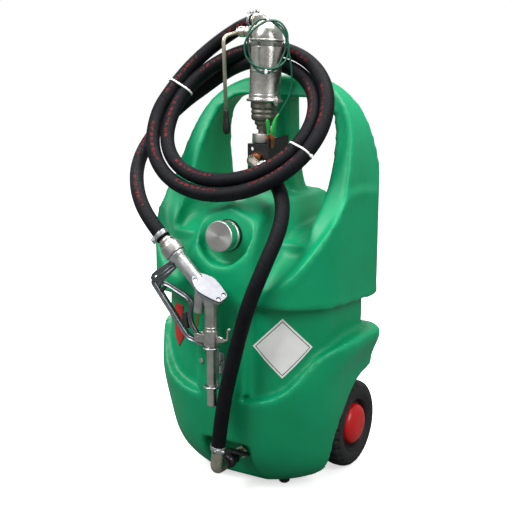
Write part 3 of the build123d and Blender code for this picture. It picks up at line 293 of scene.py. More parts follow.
def plate(outlines, origin, wide, normal, thick, edge=0.6):
    # a plate cut to one outline, with holes cut to the others, its edges rounded
    curve = bpy.data.curves.new("plate", "CURVE")
    curve.dimensions = "2D"
    curve.fill_mode = "BOTH"
    curve.extrude = (thick / 2 - edge) * mm
    curve.bevel_depth = edge * mm
    curve.offset = -edge * mm
    curve.bevel_resolution = 3
    for outline in outlines:
        spline = curve.splines.new("POLY")
        spline.points.add(len(outline) - 1)
        for point, spot in zip(spline.points, outline):
            point.co = (spot[0] * mm, spot[1] * mm, 0, 1)
        spline.use_cyclic_u = True
    mesh = frozen(bpy.data.objects.new("plate", curve))
    normal = Vector(normal).normalized()
    wide = Vector(wide)
    wide = (wide - normal * wide.dot(normal)).normalized()
    high = normal.cross(wide)
    middle = Vector(origin) + normal * thick / 2
    for v in mesh.vertices:
        v.co = middle * mm + wide * v.co.x + high * v.co.y + normal * v.co.z
    return mesh


def circle(radius, x, y):
    return [(x + radius * math.cos(t), y + radius * math.sin(t)) for t in turnsOf(32)]


def together(meshes):
    # several meshes as one
    bm = bmesh.new()
    for mesh in meshes:
        bm.from_mesh(mesh)
    return meshOf(bm)


def remeshed(mesh, voxel, passes):
    # the outer skin in even quads, with its corners and joints rounded
    obj = bpy.data.objects.new("draft", mesh)
    remesh = obj.modifiers.new("remesh", "REMESH")
    remesh.mode = "VOXEL"
    remesh.voxel_size = voxel
    skin = frozen(obj)
    verts = np.array([v.co for v in skin.vertices])
    edges = np.array([e.vertices[:] for e in skin.edges])
    verts = smoothed(verts, edges, passes)
    skin.vertices.foreach_set("co", verts.astype(np.float32).ravel())
    skin.update()
    return skin


# materials, each from what the real one is


def makePolyethylene():
    # rotomoulded polyethylene: powder melted in a mould, so it is waxy, faintly pebbled and speckled
    settings = {"Roughness": 0.42, "IOR": 1.51, "Specular IOR Level": 0.32}
    material, tree, shader = newMaterial("rotomouldedPolyethyleneGreen", settings)
    where = place(tree)
    cloud = noise(tree, where, 9, 4)  # colour drifts over about 110 mm
    speck = noise(tree, where, 900, 2)  # 1 mm powder grains
    colour = ramp(tree, cloud, [(0.3, "#00935f"), (0.7, "#009d6a")])
    light = ramp(tree, speck, [(0.62, 0.0), (0.78, 1.0)])
    colour = mixed(tree, maths(tree, "MULTIPLY", light, 0.12), colour, "#2db489")
    tree.links.new(colour, shader.inputs["Base Color"])
    scuff = noise(tree, where, 60, 5, 0.7)
    tree.links.new(ramp(tree, scuff, [(0.3, 0.36), (0.75, 0.5)]), shader.inputs["Roughness"])
    pebble = noise(tree, where, 420, 3)  # 2.4 mm orange peel
    bump(tree, shader, pebble, 0.0005, 0.22)
    return material


hoseSkin = {
    "wrap": 0.042,  # metres from one turn of the cloth to the next
    "stripe": "#8e2228",
    "stripeHalf": 0.034,  # half the stripe's width, in turns round the hose
    "stripeShare": 0.55,  # how much of its red is left
    "dash": 0.015,  # metres from one dash to the next
    "group": 0.19,  # metres from one run of dashes to the next
}


def makeHoseRubber(withStripe):
    # nitrile rubber hose cured under a cloth wrap, which leaves faint spiral bands and weave
    settings = {"Roughness": 0.55, "IOR": 1.52, "Specular IOR Level": 0.14}
    name = "clothWrappedRubberStriped" if withStripe else "clothWrappedRubber"
    material, tree, shader = newMaterial(name, settings)
    uv = addNode(tree, "ShaderNodeSeparateXYZ", None, {"Vector": place(tree, "UV")})
    along, around = uv.outputs[0], uv.outputs[1]  # metres along the hose, turns round it
    spiral = maths(tree, "ADD", maths(tree, "MULTIPLY", along, 1 / hoseSkin["wrap"]), around)
    band = maths(tree, "PINGPONG", spiral, 0.5)
    edge = maths(tree, "SMOOTH_MIN", maths(tree, "MULTIPLY", band, 12), 1.0, 0.3)
    where = place(tree)
    grain = noise(tree, where, 1400, 2)
    dust = noise(tree, where, 30, 4, 0.65)
    colour = ramp(tree, dust, [(0.3, "#060608"), (0.75, "#111218")])
    if withStripe:
        # a thin broken red line along the hose
        side = maths(tree, "ABSOLUTE", maths(tree, "SUBTRACT", around, 0.5))
        line = maths(tree, "LESS_THAN", side, hoseSkin["stripeHalf"])
        dash = maths(tree, "FRACT", maths(tree, "MULTIPLY", along, 1 / hoseSkin["dash"]))
        gap = maths(tree, "GREATER_THAN", dash, 0.3)
        longer = maths(tree, "FRACT", maths(tree, "MULTIPLY", along, 1 / hoseSkin["group"]))
        group = maths(tree, "LESS_THAN", longer, 0.6)
        worn = maths(tree, "GREATER_THAN", noise(tree, where, 190, 4, 0.7), 0.5)
        dashes = maths(tree, "MULTIPLY", line, gap)
        share = maths(tree, "MULTIPLY", dashes, maths(tree, "MULTIPLY", group, worn))
        faded = maths(tree, "MULTIPLY", share, hoseSkin["stripeShare"])
        colour = mixed(tree, faded, colour, hoseSkin["stripe"])
    tree.links.new(colour, shader.inputs["Base Color"])
    tree.links.new(ramp(tree, dust, [(0.25, 0.46), (0.8, 0.66)]), shader.inputs["Roughness"])
    height = maths(tree, "ADD", maths(tree, "MULTIPLY", edge, 0.7), maths(tree, "MULTIPLY", grain, 0.5))
    bump(tree, shader, height, 0.0011, 0.8)
    return material


def makeMetal(name, light, dark, rough, grit, spread, edge=0.0006, metallic=1.0):
    # a metal surface: two close colours, a grain of so many metres and a roughness that wanders
    material, tree, shader = newMaterial(name, {"Metallic": metallic})
    where = place(tree)
    cloud = noise(tree, where, 45, 5, 0.65)
    tree.links.new(ramp(tree, cloud, [(0.3, dark), (0.7, light)]), shader.inputs["Base Color"])
    grain = noise(tree, where, 1 / grit, 3, 0.6)
    wander = maths(tree, "ADD", maths(tree, "MULTIPLY", grain, 0.5), maths(tree, "MULTIPLY", cloud, 0.5))
    stops = [(0.3, rough - spread), (0.7, rough + spread)]
    tree.links.new(ramp(tree, wander, stops), shader.inputs["Roughness"])
    bump(tree, shader, grain, grit * 0.12, 0.4, edge)
    return material


def makeTurnedAluminium(name, axis, middle):
    # aluminium faced on a lathe: fine rings that pull the highlights into a cone
    settings = {"Metallic": 1.0, "Roughness": 0.3, "Anisotropic": 0.75}
    material, tree, shader = newMaterial(name, settings)
    where = place(tree)
    away = addNode(tree, "ShaderNodeVectorMath", {"operation": "SUBTRACT"}, {0: where})
    away.inputs[1].default_value = middle
    around = addNode(tree, "ShaderNodeVectorMath", {"operation": "CROSS_PRODUCT"}, {0: away.outputs[0]})
    around.inputs[1].default_value = axis
    unit = addNode(tree, "ShaderNodeVectorMath", {"operation": "NORMALIZE"}, {0: around.outputs[0]})
    tree.links.new(unit.outputs[0], shader.inputs["Tangent"])
    reach = addNode(tree, "ShaderNodeVectorMath", {"operation": "LENGTH"}, {0: around.outputs[0]})
    rings = addNode(tree, "ShaderNodeTexNoise", {"noise_dimensions": "1D", "Scale": 2600.0, "Detail": 2.0})
    tree.links.new(reach.outputs["Value"], rings.inputs["W"])
    marks = rings.outputs["Fac"]  # 0.4 mm tool marks, coarser than real so that they show
    tree.links.new(ramp(tree, marks, [(0.3, "#bcbbb7"), (0.7, "#e6e5e2")]), shader.inputs["Base Color"])
    tree.links.new(ramp(tree, marks, [(0.3, 0.24), (0.7, 0.36)]), shader.inputs["Roughness"])
    bump(tree, shader, marks, 0.00006, 0.35, 0.0008)
    return material


def makePlastic(name, colour, second, rough, grit=0.0012, depth=0.00012, ior=1.49):
    # moulded plastic or paint: a slight drift of colour, a fine skin and edges rounded by half a millimetre
    edge = 0.0005
    material, tree, shader = newMaterial(name, {"Roughness": rough, "IOR": ior})
    where = place(tree)
    cloud = noise(tree, where, 35, 4, 0.6)
    tree.links.new(ramp(tree, cloud, [(0.3, colour), (0.75, second)]), shader.inputs["Base Color"])
    tree.links.new(ramp(tree, cloud, [(0.25, rough - 0.05), (0.8, rough + 0.08)]), shader.inputs["Roughness"])
    bump(tree, shader, noise(tree, where, 1 / grit, 3), depth, 0.6, edge)
    return material


def makeTyreRubber():
    # carbon-filled tyre rubber: dull black, dusty in its grooves
    material, tree, shader = newMaterial("tyreRubber", {"Roughness": 0.72, "IOR": 1.52})
    where = place(tree)
    dust = noise(tree, where, 55, 6, 0.7)
    tree.links.new(ramp(tree, dust, [(0.35, "#141416"), (0.72, "#232326")]), shader.inputs["Base Color"])
    tree.links.new(ramp(tree, dust, [(0.3, 0.6), (0.75, 0.85)]), shader.inputs["Roughness"])
    bump(tree, shader, noise(tree, where, 700, 4, 0.7), 0.0005, 0.5, 0.0012)
    return material


capAxis = (0.0, -0.99337, 0.11494)
capMiddle = (0.0, -0.112, 0.570)
finishes = {
    "tank_green": makePolyethylene(),
    "rubber_black": makePlastic("mouldedRubber", "#1a1a1b", "#262627", 0.6, ior=1.52),
    "steel_zinc": makeMetal("zincPlatedSteel", "#d6d8d9", "#a9acae", 0.32, 0.0012, 0.08),
    "tyre_black": makeTyreRubber(),
    "rim_red": makePlastic("enamelledSteelRed", "#b3181b", "#9c1417", 0.33),
    "nylon_white": makePlastic("mouldedNylon", "#dcd9cd", "#cfccc0", 0.42),
    "hub_red": makePlastic("polypropyleneRed", "#d81419", "#c41016", 0.28),
    "neck_black": makePlastic("mouldedPolyamideBlack", "#17181a", "#232426", 0.45),
    "cap_aluminium": makeTurnedAluminium("turnedAluminium", capAxis, capMiddle),
    "bracket_black": makePlastic("powderCoatedSteelBlack", "#161719", "#212226", 0.42, 0.0009, 0.0002),
    "cast_grey": makeMetal("castAluminiumDull", "#8f8d84", "#5c5a53", 0.46, 0.0016, 0.1),
    "pump_aluminium": makeMetal("hammeredAluminium", "#d9d7d1", "#a9a7a0", 0.3, 0.0042, 0.08),
    "brass": makeMetal("machinedBrass", "#c9a35a", "#a5803d", 0.32, 0.001, 0.07),
    "nickel": makeMetal("nickelPlatedBrass", "#e2dacb", "#bdb4a4", 0.25, 0.0014, 0.07),
    "copper": makeMetal("copperWasher", "#c98a63", "#a0603d", 0.3, 0.001, 0.07),
    "lever_cream": makeMetal("galvanisedSteelRod", "#cfc9b8", "#a9a392", 0.38, 0.0015, 0.1, metallic=0.75),
    "grip_black": makePlastic("mouldedPhenolic", "#131314", "#1e1e20", 0.3),
    "hose_black": makeHoseRubber(False),
    "cable_green": makePlastic("cablePvcGreen", "#0e4a38", "#14614a", 0.35),
    "clip_green": makePlastic("dippedPvcGreen", "#2fae4e", "#1f9a43", 0.35),
    "clip_copper": makeMetal("copperPlatedSteel", "#d68f66", "#a8603f", 0.35, 0.001, 0.08),
    "nozzle_aluminium": makeMetal("dieCastAluminium", "#dcdddd", "#b3b4b5", 0.38, 0.0013, 0.08, 0.0012),
    "guard_grey": makeMetal("castAluminiumGuard", "#8f9296", "#6c6f74", 0.4, 0.0014, 0.08, 0.001),
    "tag_red": makePlastic("vinylRed", "#c41a17", "#a91512", 0.35),
    "label_white": makePlastic("vinylWhite", "#eceae5", "#e2e0da", 0.35),
    "valve_black": makePlastic("paintedBrassBlack", "#131416", "#222427", 0.35),
    "tie_white": makePlastic("nylonTie", "#eeeee9", "#dededa", 0.38),
}
stripedHose = makeHoseRubber(True)
finishes["cast_light"] = makeMetal("castAluminiumClean", "#cfcec9", "#aeada7", 0.42, 0.0015, 0.07)
finishes["cover_polished"] = makeMetal("polishedAluminium", "#8c8c90", "#75767b", 0.42, 0.0011, 0.05, 0.0008)
finishes["spout_aluminium"] = makeMetal("satinAluminium", "#d6d3ce", "#b2afaa", 0.36, 0.0012, 0.06, 0.0008)
print("materials made:", len(finishes) + 1)

slotOf = {part["node"]: part["material_slot"] for part in frame["record"]["subparts"]}
for name, obj in nodes.items():
    obj.data.materials.clear()
    obj.data.materials.append(finishes[slotOf[name]])

# hoses and the earthing cable: one smooth spline each, then a tube along it

hose = {
    "radius": 0.0155,
    "coilMiddle": (-0.047, 0.0, 0.799),
    "halfWidths": (0.207, 0.207, 0.207, 0.207, 0.174, 0.174, 0.174, 0.174),  # at each quarter turn
    "halfDepths": (0.117, 0.117, 0.117, 0.117, 0.106, 0.106, 0.106, 0.106),
    "halfHeights": (0.146, 0.146, 0.146, 0.146, 0.116, 0.116, 0.116, 0.116),
    "shift": 0.008,  # the second turn stands this much behind the first
    "drop": 0.003,
    "start": (
        (-0.049, 0.082, 1.003), (-0.075, 0.0985, 0.998), (-0.122, 0.114, 0.9805),
        (-0.173, 0.110, 0.949), (-0.216, 0.082, 0.905), (-0.243, 0.044, 0.856),
    ),
    "tail": (
        (-0.098, 0.121, 0.911), (-0.158, 0.126, 0.886), (-0.212, 0.118, 0.848),
        (-0.256, 0.107, 0.817), (-0.298, 0.048, 0.756), (-0.288, -0.038, 0.695),
        (-0.224, -0.128, 0.646), (-0.1513, -0.185, 0.6018), (-0.1114, -0.185, 0.5639),
    ),
    "suction": (
        (0.027, -0.024, 0.700), (0.072, -0.044, 0.68375), (0.112, -0.078, 0.648),
        (0.131, -0.122, 0.600), (0.117, -0.168, 0.525), (0.088, -0.184, 0.440),
        (0.050, -0.184, 0.305), (0.0265, -0.18225, 0.208875), (0.010, -0.174, 0.114),
    ),
}
cable = {
    "radius": 0.002,
    "view": 31,  # degrees that the hank is turned to
    "middle": (-0.009, 0.0595, 0.953),
    "clear": 0.034 + 0.0027 + 0.002,  # the pump's radius, room and the cable's own radius
    "halfWidth": 0.043,
    "halfHeight": 0.052,
    "lean": 4,  # degrees that the hank leans back with the pump
    "turns": 4.25,
    "pitch": 0.0048,
    "spread": 0.12,  # how much hand-wound turns differ in size
    "tuck": 0.002,  # the first end is pushed in this far
    "lead": ((0.066, 0.038, 0.902), (0.062, 0.040, 0.850), (0.036, 0.033, 0.810), (0.027, 0.029, 0.7913)),
}


def splineThrough(controls, smooth=14):
    # a NURBS of order 3 on these control points, read back as plain points
    curve = bpy.data.curves.new("route", "CURVE")
    curve.dimensions = "3D"
    curve.resolution_u = smooth
    spline = curve.splines.new("NURBS")
    spline.points.add(len(controls) - 1)
    for point, spot in zip(spline.points, controls):
        point.co = (*spot, 1)
    spline.order_u = 3
    spline.use_endpoint_u = True
    line = frozen(bpy.data.objects.new("route", curve))
    points = np.array([v.co for v in line.vertices])
    keep = [0]
    for i in range(1, len(points)):
        if np.linalg.norm(points[i] - points[keep[-1]]) > 1e-5:
            keep.append(i)
    return points[keep]


def tubeAlong(points, radius, sides):
    # rings carried along the line without twist; u runs in metres, v once round
    steps = np.diff(points, axis=0)
    ahead = np.vstack([steps[:1], steps[1:] + steps[:-1], steps[-1:]])
    ahead /= np.linalg.norm(ahead, axis=1)[:, None]
    side = np.cross(ahead[0], (0.0, 0.0, 1.0))
    side /= np.linalg.norm(side)
    far = np.concatenate([[0], np.cumsum(np.linalg.norm(steps, axis=1))])
    angles = np.arange(sides) / sides * 2 * math.pi
    spots = []
    for point, way in zip(points, ahead):
        side = side - way * side.dot(way)
        side /= np.linalg.norm(side)
        other = np.cross(way, side)
        spots.append(point + radius * (np.cos(angles)[:, None] * side + np.sin(angles)[:, None] * other))
    mesh = bpy.data.meshes.new("tube")
    count = len(points)
    faces = []
    for i in range(count - 1):
        for k in range(sides):
            n = (k + 1) % sides
            faces.append((i * sides + k, i * sides + n, (i + 1) * sides + n, (i + 1) * sides + k))
    faces.append(tuple(range(sides))[::-1])
    faces.append(tuple((count - 1) * sides + k for k in range(sides)))
    mesh.from_pydata(np.vstack(spots).tolist(), [], faces)
    layer = mesh.uv_layers.new(name="UVMap")
    at = 0
    for i in range(count - 1):
        for k in range(sides):
            for u, v in ((far[i], k), (far[i], k + 1), (far[i + 1], k + 1), (far[i + 1], k)):
                layer.data[at].uv = (u, v / sides)
                at += 1
    return mesh, far[-1]


def coilTurns():
    # twelve points a turn, from the left of the first turn to the top of the last
    out = 1 / math.cos(math.radians(15))  # the spline cuts inside its corners by this share
    spots = []
    for k in range(3, 25):
        quarter = k / 3
        angle = math.radians(30 * k)
        sizes = []
        for key in ("halfWidths", "halfDepths", "halfHeights"):
            low = min(int(quarter) - 1, 7)
            high = min(low + 1, 7)
            part = quarter - int(quarter)
            sizes.append((hose[key][low] * (1 - part) + hose[key][high] * part) * out)
        later = min(max(quarter - 4, 0), 1)
        mx, my, mz = hose["coilMiddle"]
        spots.append((
            mx - sizes[0] * math.sin(angle),
            my + later * hose["shift"] + sizes[1] * math.cos(angle),
            mz - later * hose["drop"] + sizes[2] * math.cos(angle),
        ))
    return spots


def makeHoses():
    delivery = list(hose["start"]) + coilTurns() + list(hose["tail"])
    line = splineThrough(delivery)
    mesh, length = tubeAlong(line, hose["radius"], 28)
    piece = newPiece("deliveryHose", mesh, "caddy", stripedHose)
    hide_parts("delivery_coil", "delivery_tail")
    print("delivery hose", round(length, 3), "m")
    drop = splineThrough(hose["suction"])
    mesh, length = tubeAlong(drop, hose["radius"], 28)
    piece = newPiece("suctionHose", mesh, "caddy", finishes["hose_black"])
    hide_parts("suction_hose")
    print("suction hose", round(length, 3), "m")
    return line


def makeCable():
    view = math.radians(cable["view"])
    lean = math.radians(cable["lean"])
    facing = np.array((math.sin(view), -math.cos(view), 0))
    across = np.array((math.cos(view), math.sin(view), 0))
    up = np.array((0, math.sin(lean), math.cos(lean)))
    middle = np.array(cable["middle"])
    out = 1 / math.cos(math.radians(15))
    spots = []
    for k in range(int(12 * cable["turns"]) + 1):
        angle = math.radians(30 * k)
        spread = 1 + cable["spread"] * math.sin(1.3 * k) * (k > 2)
        spots.append(
            middle
            + facing * (cable["clear"] + k * cable["pitch"] / 12)
            + across * cable["halfWidth"] * out * spread * math.sin(angle)
            + up * cable["halfHeight"] * out * spread * math.cos(angle)
        )
    spots[0] = spots[0] - across * cable["tuck"]
    line = splineThrough([tuple(s) for s in spots] + list(cable["lead"]), 8)
    mesh, length = tubeAlong(line, cable["radius"], 12)
    piece = newPiece("earthCable", mesh, "caddy", finishes["cable_green"])
    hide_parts("earth_hank", "earth_lead")
    print("earthing cable", round(length, 3), "m")


hoseLine = makeHoses()
makeCable()

# the tank: the moulded skin, rounded as hot powder leaves it

moulding = {
    "voxel": 0.005,
    "passes": 110,
    # round holes through the wall: a spot on the axis, the axis and the radius
    "bores": (
        (capMiddle, capAxis, 0.027),
        ((0.002, 0, 0.068), (0, 1, 0), 0.010),
        ((0, 0.142, 0.1), (1, 0, 0), 0.01005),
    ),
    "boreFit": 3e-4,
}


def onBore(face, spot, way, radius):
    # whether the face is part of that hole's wall
    spot = Vector(spot)
    way = Vector(way)
    reaches = [((v.co - spot) - way * (v.co - spot).dot(way)).length for v in face.verts]
    return all(abs(reach - radius) < moulding["boreFit"] for reach in reaches)


def shellsOf(bm):
    # the points of each shell that hangs together
    groups = []
    left = set(bm.verts)
    while left:
        start = left.pop()
        group, edge = {start}, [start]
        while edge:
            for e in edge.pop().link_edges:
                for v in e.verts:
                    if v in left:
                        left.remove(v)
                        group.add(v)
                        edge.append(v)
        groups.append(group)
    return groups


def heightOf(group):
    return max(v.co.z for v in group) - min(v.co.z for v in group)


def makeTank():
    bm = bmesh.new()
    bm.from_mesh(nodes["tank"].data)
    bmesh.ops.remove_doubles(bm, verts=bm.verts, dist=1e-5)
    # the bores join the skin to the hollow; with their walls gone the two come apart
    walls = [face for face in bm.faces if any(onBore(face, *bore) for bore in moulding["bores"])]
    bmesh.ops.delete(bm, geom=walls, context="FACES")
    groups = shellsOf(bm)
    skin = max(groups, key=heightOf)
    bmesh.ops.delete(bm, geom=[v for v in bm.verts if v not in skin], context="VERTS")
    bmesh.ops.holes_fill(bm, edges=[e for e in bm.edges if e.is_boundary], sides=0)
    print("tank skin:", len(groups), "shells,", len(bm.faces), "faces")
    bmesh.ops.triangulate(bm, faces=bm.faces)
    skinMesh = remeshed(meshOf(bm, "tankSkin"), moulding["voxel"], moulding["passes"])
    piece = newPiece("mouldedTank", skinMesh, "caddy", finishes["tank_green"])
    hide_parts("tank")
    print("tank moulded:", len(skinMesh.vertices), "points")
    return piece


tank = makeTank()
tankTree = BVHTree.FromObject(tank, bpy.context.evaluated_depsgraph_get())

# label and tag: vinyl laid on the moulded skin

waist = {
    "radius": 0.118,
    "cornerX": 0.078,
    "cornerY": -0.008,
}
label = {
    "side": 0.092,
    "angle": 27,  # degrees round the waist's right corner
    "height": 0.345,
    "border": 0.0016,
    "inset": 0.004,
    "lift": 0.0006,
    "cells": 24,  # squares along each side
}
tag = {
    "width": 0.034,
    "height": 0.096,
    "point": 0.022,
    "angle": 23.5,
    "middle": 0.357,
    "lift": 0.0012,
    "thick": 0.0009,
    "cells": (16, 6),  # rows and columns
}


def onSkin(spot, way, lift):
    # the place where a line going in along -way meets the tank, lifted off a little
    hit = tankTree.ray_cast(Vector(spot) + Vector(way) * 0.1, -Vector(way), 0.25)[0]
    return (hit or Vector(spot)) + Vector(way) * lift


def waistGrid(side, angle, height, spots, lift):
    # flat points (across, up) wrapped on to the waist's rounded corner
    radius, cornerX, cornerY = waist["radius"], waist["cornerX"], waist["cornerY"]
    out = []
    for across, up in spots:
        turn = math.radians(angle) + side * across / radius
        if turn > 0:
            way = (side * math.sin(turn), -math.cos(turn), 0)
            spot = (side * cornerX + way[0] * radius, cornerY + way[1] * radius, height + up)
        else:
            way = (0, -1, 0)
            spot = (side * (cornerX + turn * radius), cornerY - radius, height + up)
        out.append(onSkin(spot, way, lift))
    return out


def squares(rows, columns):
    # the corner numbers of each square in a grid of points laid row by row
    wide = columns + 1
    for i in range(rows):
        for j in range(columns):
            corner = i * wide + j
            yield corner, corner + wide, corner + wide + 1, corner + 1


def makeLabelVinyl():
    # printed vinyl: white field with a thin black border line
    material, tree, shader = newMaterial("printedVinyl", {"Roughness": 0.35, "IOR": 1.49})
    uv = addNode(tree, "ShaderNodeSeparateXYZ", None, {"Vector": place(tree, "UV")})
    across = maths(tree, "ABSOLUTE", uv.outputs[0])
    far = maths(tree, "MAXIMUM", across, maths(tree, "ABSOLUTE", uv.outputs[1]))
    half = label["side"] / 2
    low = maths(tree, "GREATER_THAN", far, half - label["inset"] - label["border"])
    high = maths(tree, "LESS_THAN", far, half - label["inset"])
    line = maths(tree, "MULTIPLY", low, high)
    cloud = noise(tree, place(tree), 50, 4)
    field = ramp(tree, cloud, [(0.3, "#f6f5f2"), (0.7, "#fdfcfa")])
    tree.links.new(mixed(tree, line, field, "#1b1b1c"), shader.inputs["Base Color"])
    tree.links.new(ramp(tree, cloud, [(0.3, 0.3), (0.7, 0.4)]), shader.inputs["Roughness"])
    return material


def makeLabel():
    count = label["cells"]
    half = label["side"] / 2
    bm = bmesh.new()
    layer = bm.loops.layers.uv.new("UVMap")
    flat, spots = [], []
    for i in range(count + 1):
        for j in range(count + 1):
            a = (i / count * 2 - 1) * half
            b = (j / count * 2 - 1) * half
            flat.append((a, b))
            spots.append(((a - b) / math.sqrt(2), (a + b) / math.sqrt(2)))
    verts = [bm.verts.new(p) for p in waistGrid(1, label["angle"], label["height"], spots, label["lift"])]
    for ring in squares(count, count):
        face = bm.faces.new([verts[k] for k in ring])
        for loop, k in zip(face.loops, ring):
            loop[layer].uv = flat[k]
    bmesh.ops.recalc_face_normals(bm, faces=bm.faces)
    piece = newPiece("diamondLabel", meshOf(bm, "waistLabel"), "caddy", makeLabelVinyl())
    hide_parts("waist_label")


def makeTag():
    rows, columns = tag["cells"]
    bm = bmesh.new()
    spots = []
    for i in range(rows + 1):
        up = tag["height"] / 2 - i / rows * tag["height"]
        room = up + tag["height"] / 2
        half = tag["width"] / 2 * min(1, max(room / tag["point"], 0.02))
        for j in range(columns + 1):
            spots.append(((j / columns * 2 - 1) * half, up))
    verts = [bm.verts.new(p) for p in waistGrid(-1, tag["angle"], tag["middle"], spots, tag["lift"])]
    for ring in squares(rows, columns):
        bm.faces.new([verts[k] for k in ring])
    piece = newPiece("redTag", meshOf(bm, "redTag"), "caddy", finishes["tag_red"])
    thick = piece.modifiers.new("thickness", "SOLIDIFY")
    thick.thickness = tag["thick"]
    thick.offset = 0
    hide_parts("red_tag")


makeLabel()
makeTag()
print("label and tag laid on")

# hand pump: turned and cast pieces on one axis that leans back

pump = {
    "foot": (-9, 45, 745),
    "lean": 4,  # degrees
    "hexRadius": 24,
    "hexHeight": 20,
    "tail": [
        (0, 20), (11.5, 20), (11.5, 26), (13, 28), (15.5, 29),
        (15.5, 36), (18, 38), (20, 40), (20, 47), (0, 47),
    ],
    "cup": [
        (0, 47), (23, 47), (27, 50), (28, 54), (28, 59), (26.8, 60), (26.8, 62.5),
        (28.6, 63.5), (28.6, 68), (27.4, 69), (27.4, 72), (30, 75), (30, 88), (0, 88),
    ],
    "cylinder": [
        (0, 88), (38.4, 88), (39.4, 90), (39.4, 92.5), (38, 94), (35.4, 94.6), (34.6, 97),
        (34.6, 103), (34, 104), (34, 150), (34.5, 151), (34.5, 154), (34, 155), (34, 204),
        (33, 205.5), (35.5, 206.5), (35.8, 215), (37.4, 216.5), (37.4, 219), (35.4, 220.5), (0, 220.5),
    ],
    "dome": 34,
    "domeLow": 220,
    "domeRise": 42,
    "outlet": ((-12, 63, 998), (-34, 73, 1006), (-49, 82, 1003)),
    "outletRadius": 12,
    "shaftHeight": 234.5,
    "glandPlace": 42,
    "lugs": (-20, 160),  # degrees round the flange
    "lugReach": 38,
    "lug": [(0, 0), (6.5, 0), (6.5, 12), (0, 12)],
    "boss": [(0, 8), (17, 10), (15, 30), (13.5, 42), (0, 42)],
    "collar": [(0, -8), (12.5, -8), (15, -6), (15, -1), (13, 0), (0, 0)],
}
pumpAxis = Vector((0, math.sin(math.radians(pump["lean"])), math.cos(math.radians(pump["lean"]))))
pumpFoot = Vector(pump["foot"])
shaftMiddle = pumpFoot + pumpAxis * pump["shaftHeight"]
leftWay = Vector((-1, 0, 0))


def hexagon(radius, turn=0):
    turns = [math.radians(60 * k + turn) for k in range(6)]
    return [(radius * math.cos(t), radius * math.sin(t)) for t in turns]


def replaceWith(name, mesh, body, finish, *nodeNames):
    # a new piece with the finish of a material slot, in place of CAD nodes
    piece = newPiece(name, mesh, body, finishes[finish])
    if nodeNames:
        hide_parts(*nodeNames)
    return piece


def lugSpot(turn):
    angle = math.radians(turn)
    return pumpFoot + Vector((math.cos(angle), math.sin(angle), 0)) * pump["lugReach"]


def makePump():
    flat = hexagon(pump["hexRadius"], 30)
    foot = plate([flat], pumpFoot - pumpAxis * 0.2, (1, 0, 0), pumpAxis, pump["hexHeight"], 1.4)
    replaceWith("pumpFoot", foot, "caddy", "cast_light", "pump_foot")
    tail = turned(pump["tail"], pumpFoot, pumpAxis)
    replaceWith("pumpTailpiece", tail, "caddy", "cast_grey", "pump_tailpiece")
    replaceWith("pumpBase", turned(pump["cup"], pumpFoot, pumpAxis), "caddy", "cast_grey", "pump_base")
    parts = [turned(pump["cylinder"], pumpFoot, pumpAxis, 0.6, 96)]
    for turn in pump["lugs"]:
        # an ear on the flange with a cap screw through it
        spot = lugSpot(turn) + pumpAxis * 85.5
        parts.append(turned(pump["lug"], spot, pumpAxis, 1.5, 32))
    replaceWith("pumpCylinder", together(parts), "caddy", "pump_aluminium", "pump_cylinder")
    screws = []
    for turn in pump["lugs"]:
        for low, high in ((82, 86), (97, 101)):
            spot = lugSpot(turn) + pumpAxis * low
            screws.append(plate([hexagon(4.4)], spot, (1, 0, 0), pumpAxis, high - low, 0.5))
    replaceWith("pumpFlangeScrews", together(screws), "caddy", "steel_zinc")
    rise = [(pump["dome"] * math.cos(t), pump["domeLow"] + pump["domeRise"] * math.sin(t))
            for t in (k / 16 * math.pi / 2 for k in range(16))]
    dome = turned([(0, pump["domeLow"] - 4), (pump["dome"], pump["domeLow"] - 4)] + rise
                  + [(0, pump["domeLow"] + pump["domeRise"])], pumpFoot, pumpAxis, 0.5, 96)
    pipe = rod(pump["outlet"], pump["outletRadius"], 12, 40)
    boss = turned(pump["boss"], shaftMiddle, leftWay, 2, 48)
    head = remeshed(together([dome, pipe, boss]), 0.0010, 5)
    replaceWith("pumpHead", head, "caddy", "pump_aluminium", "pump_head")
    out = Vector(pump["outlet"][2])
    way = (out - Vector(pump["outlet"][1])).normalized()
    collar = turned(pump["collar"], out, way, 0.8, 48)
    replaceWith("outletCollar", collar, "caddy", "nickel")
    spot = shaftMiddle + leftWay * pump["glandPlace"]
    gland = plate([hexagon(12.5, 30)], spot, (0, 1, 0), leftWay, 9.5, 1.0)
    replaceWith("shaftGland", gland, "caddy", "nickel", "shaft_gland")
    print("pump made")


# the pump's lever: a bent bar in a hub with a bright hexagon cap

lever = {
    "points": ((-76, 61.4, 979), (-88, 12, 970), (-83, 12, 815)),
    "radius": 4.2,
    "grip": [(0, 0), (5.2, 0), (5.8, 4), (6.4, 16), (8.3, 33), (8.6, 40), (7.6, 48), (4.6, 53), (0, 54)],
    "hub": [(0, 52.6), (11, 53), (11.6, 56), (11.6, 67), (10.6, 69), (0, 69)],
}


def makeLever():
    bend = rod(lever["points"], lever["radius"], 14, 28)
    piece = replaceWith("leverBar", bend, "lever", "lever_cream", "pump_lever")
    hub = turned(lever["hub"], shaftMiddle, leftWay, 1.2, 48)
    replaceWith("leverHub", hub, "lever", "nickel")
    cap = plate([hexagon(8.6, 10)], shaftMiddle + leftWay * 69, (0, 1, 0), leftWay, 6, 0.9)
    washer = turned([(0, 68.5), (9.6, 68.5), (9.6, 70.5), (0, 70.5)], shaftMiddle, leftWay, 0.4, 40)
    replaceWith("leverCap", together([cap, washer]), "lever", "steel_zinc")
    end = Vector(lever["points"][2])
    way = (end - Vector(lever["points"][1])).normalized()
    replaceWith("leverGrip", turned(lever["grip"], end, way, 2, 56), "lever", "grip_black", "lever_grip")
    print("lever made")


makePump()
makeLever()

# nozzle: die-cast body with a kite-shaped cover, a guard and a trigger of I section

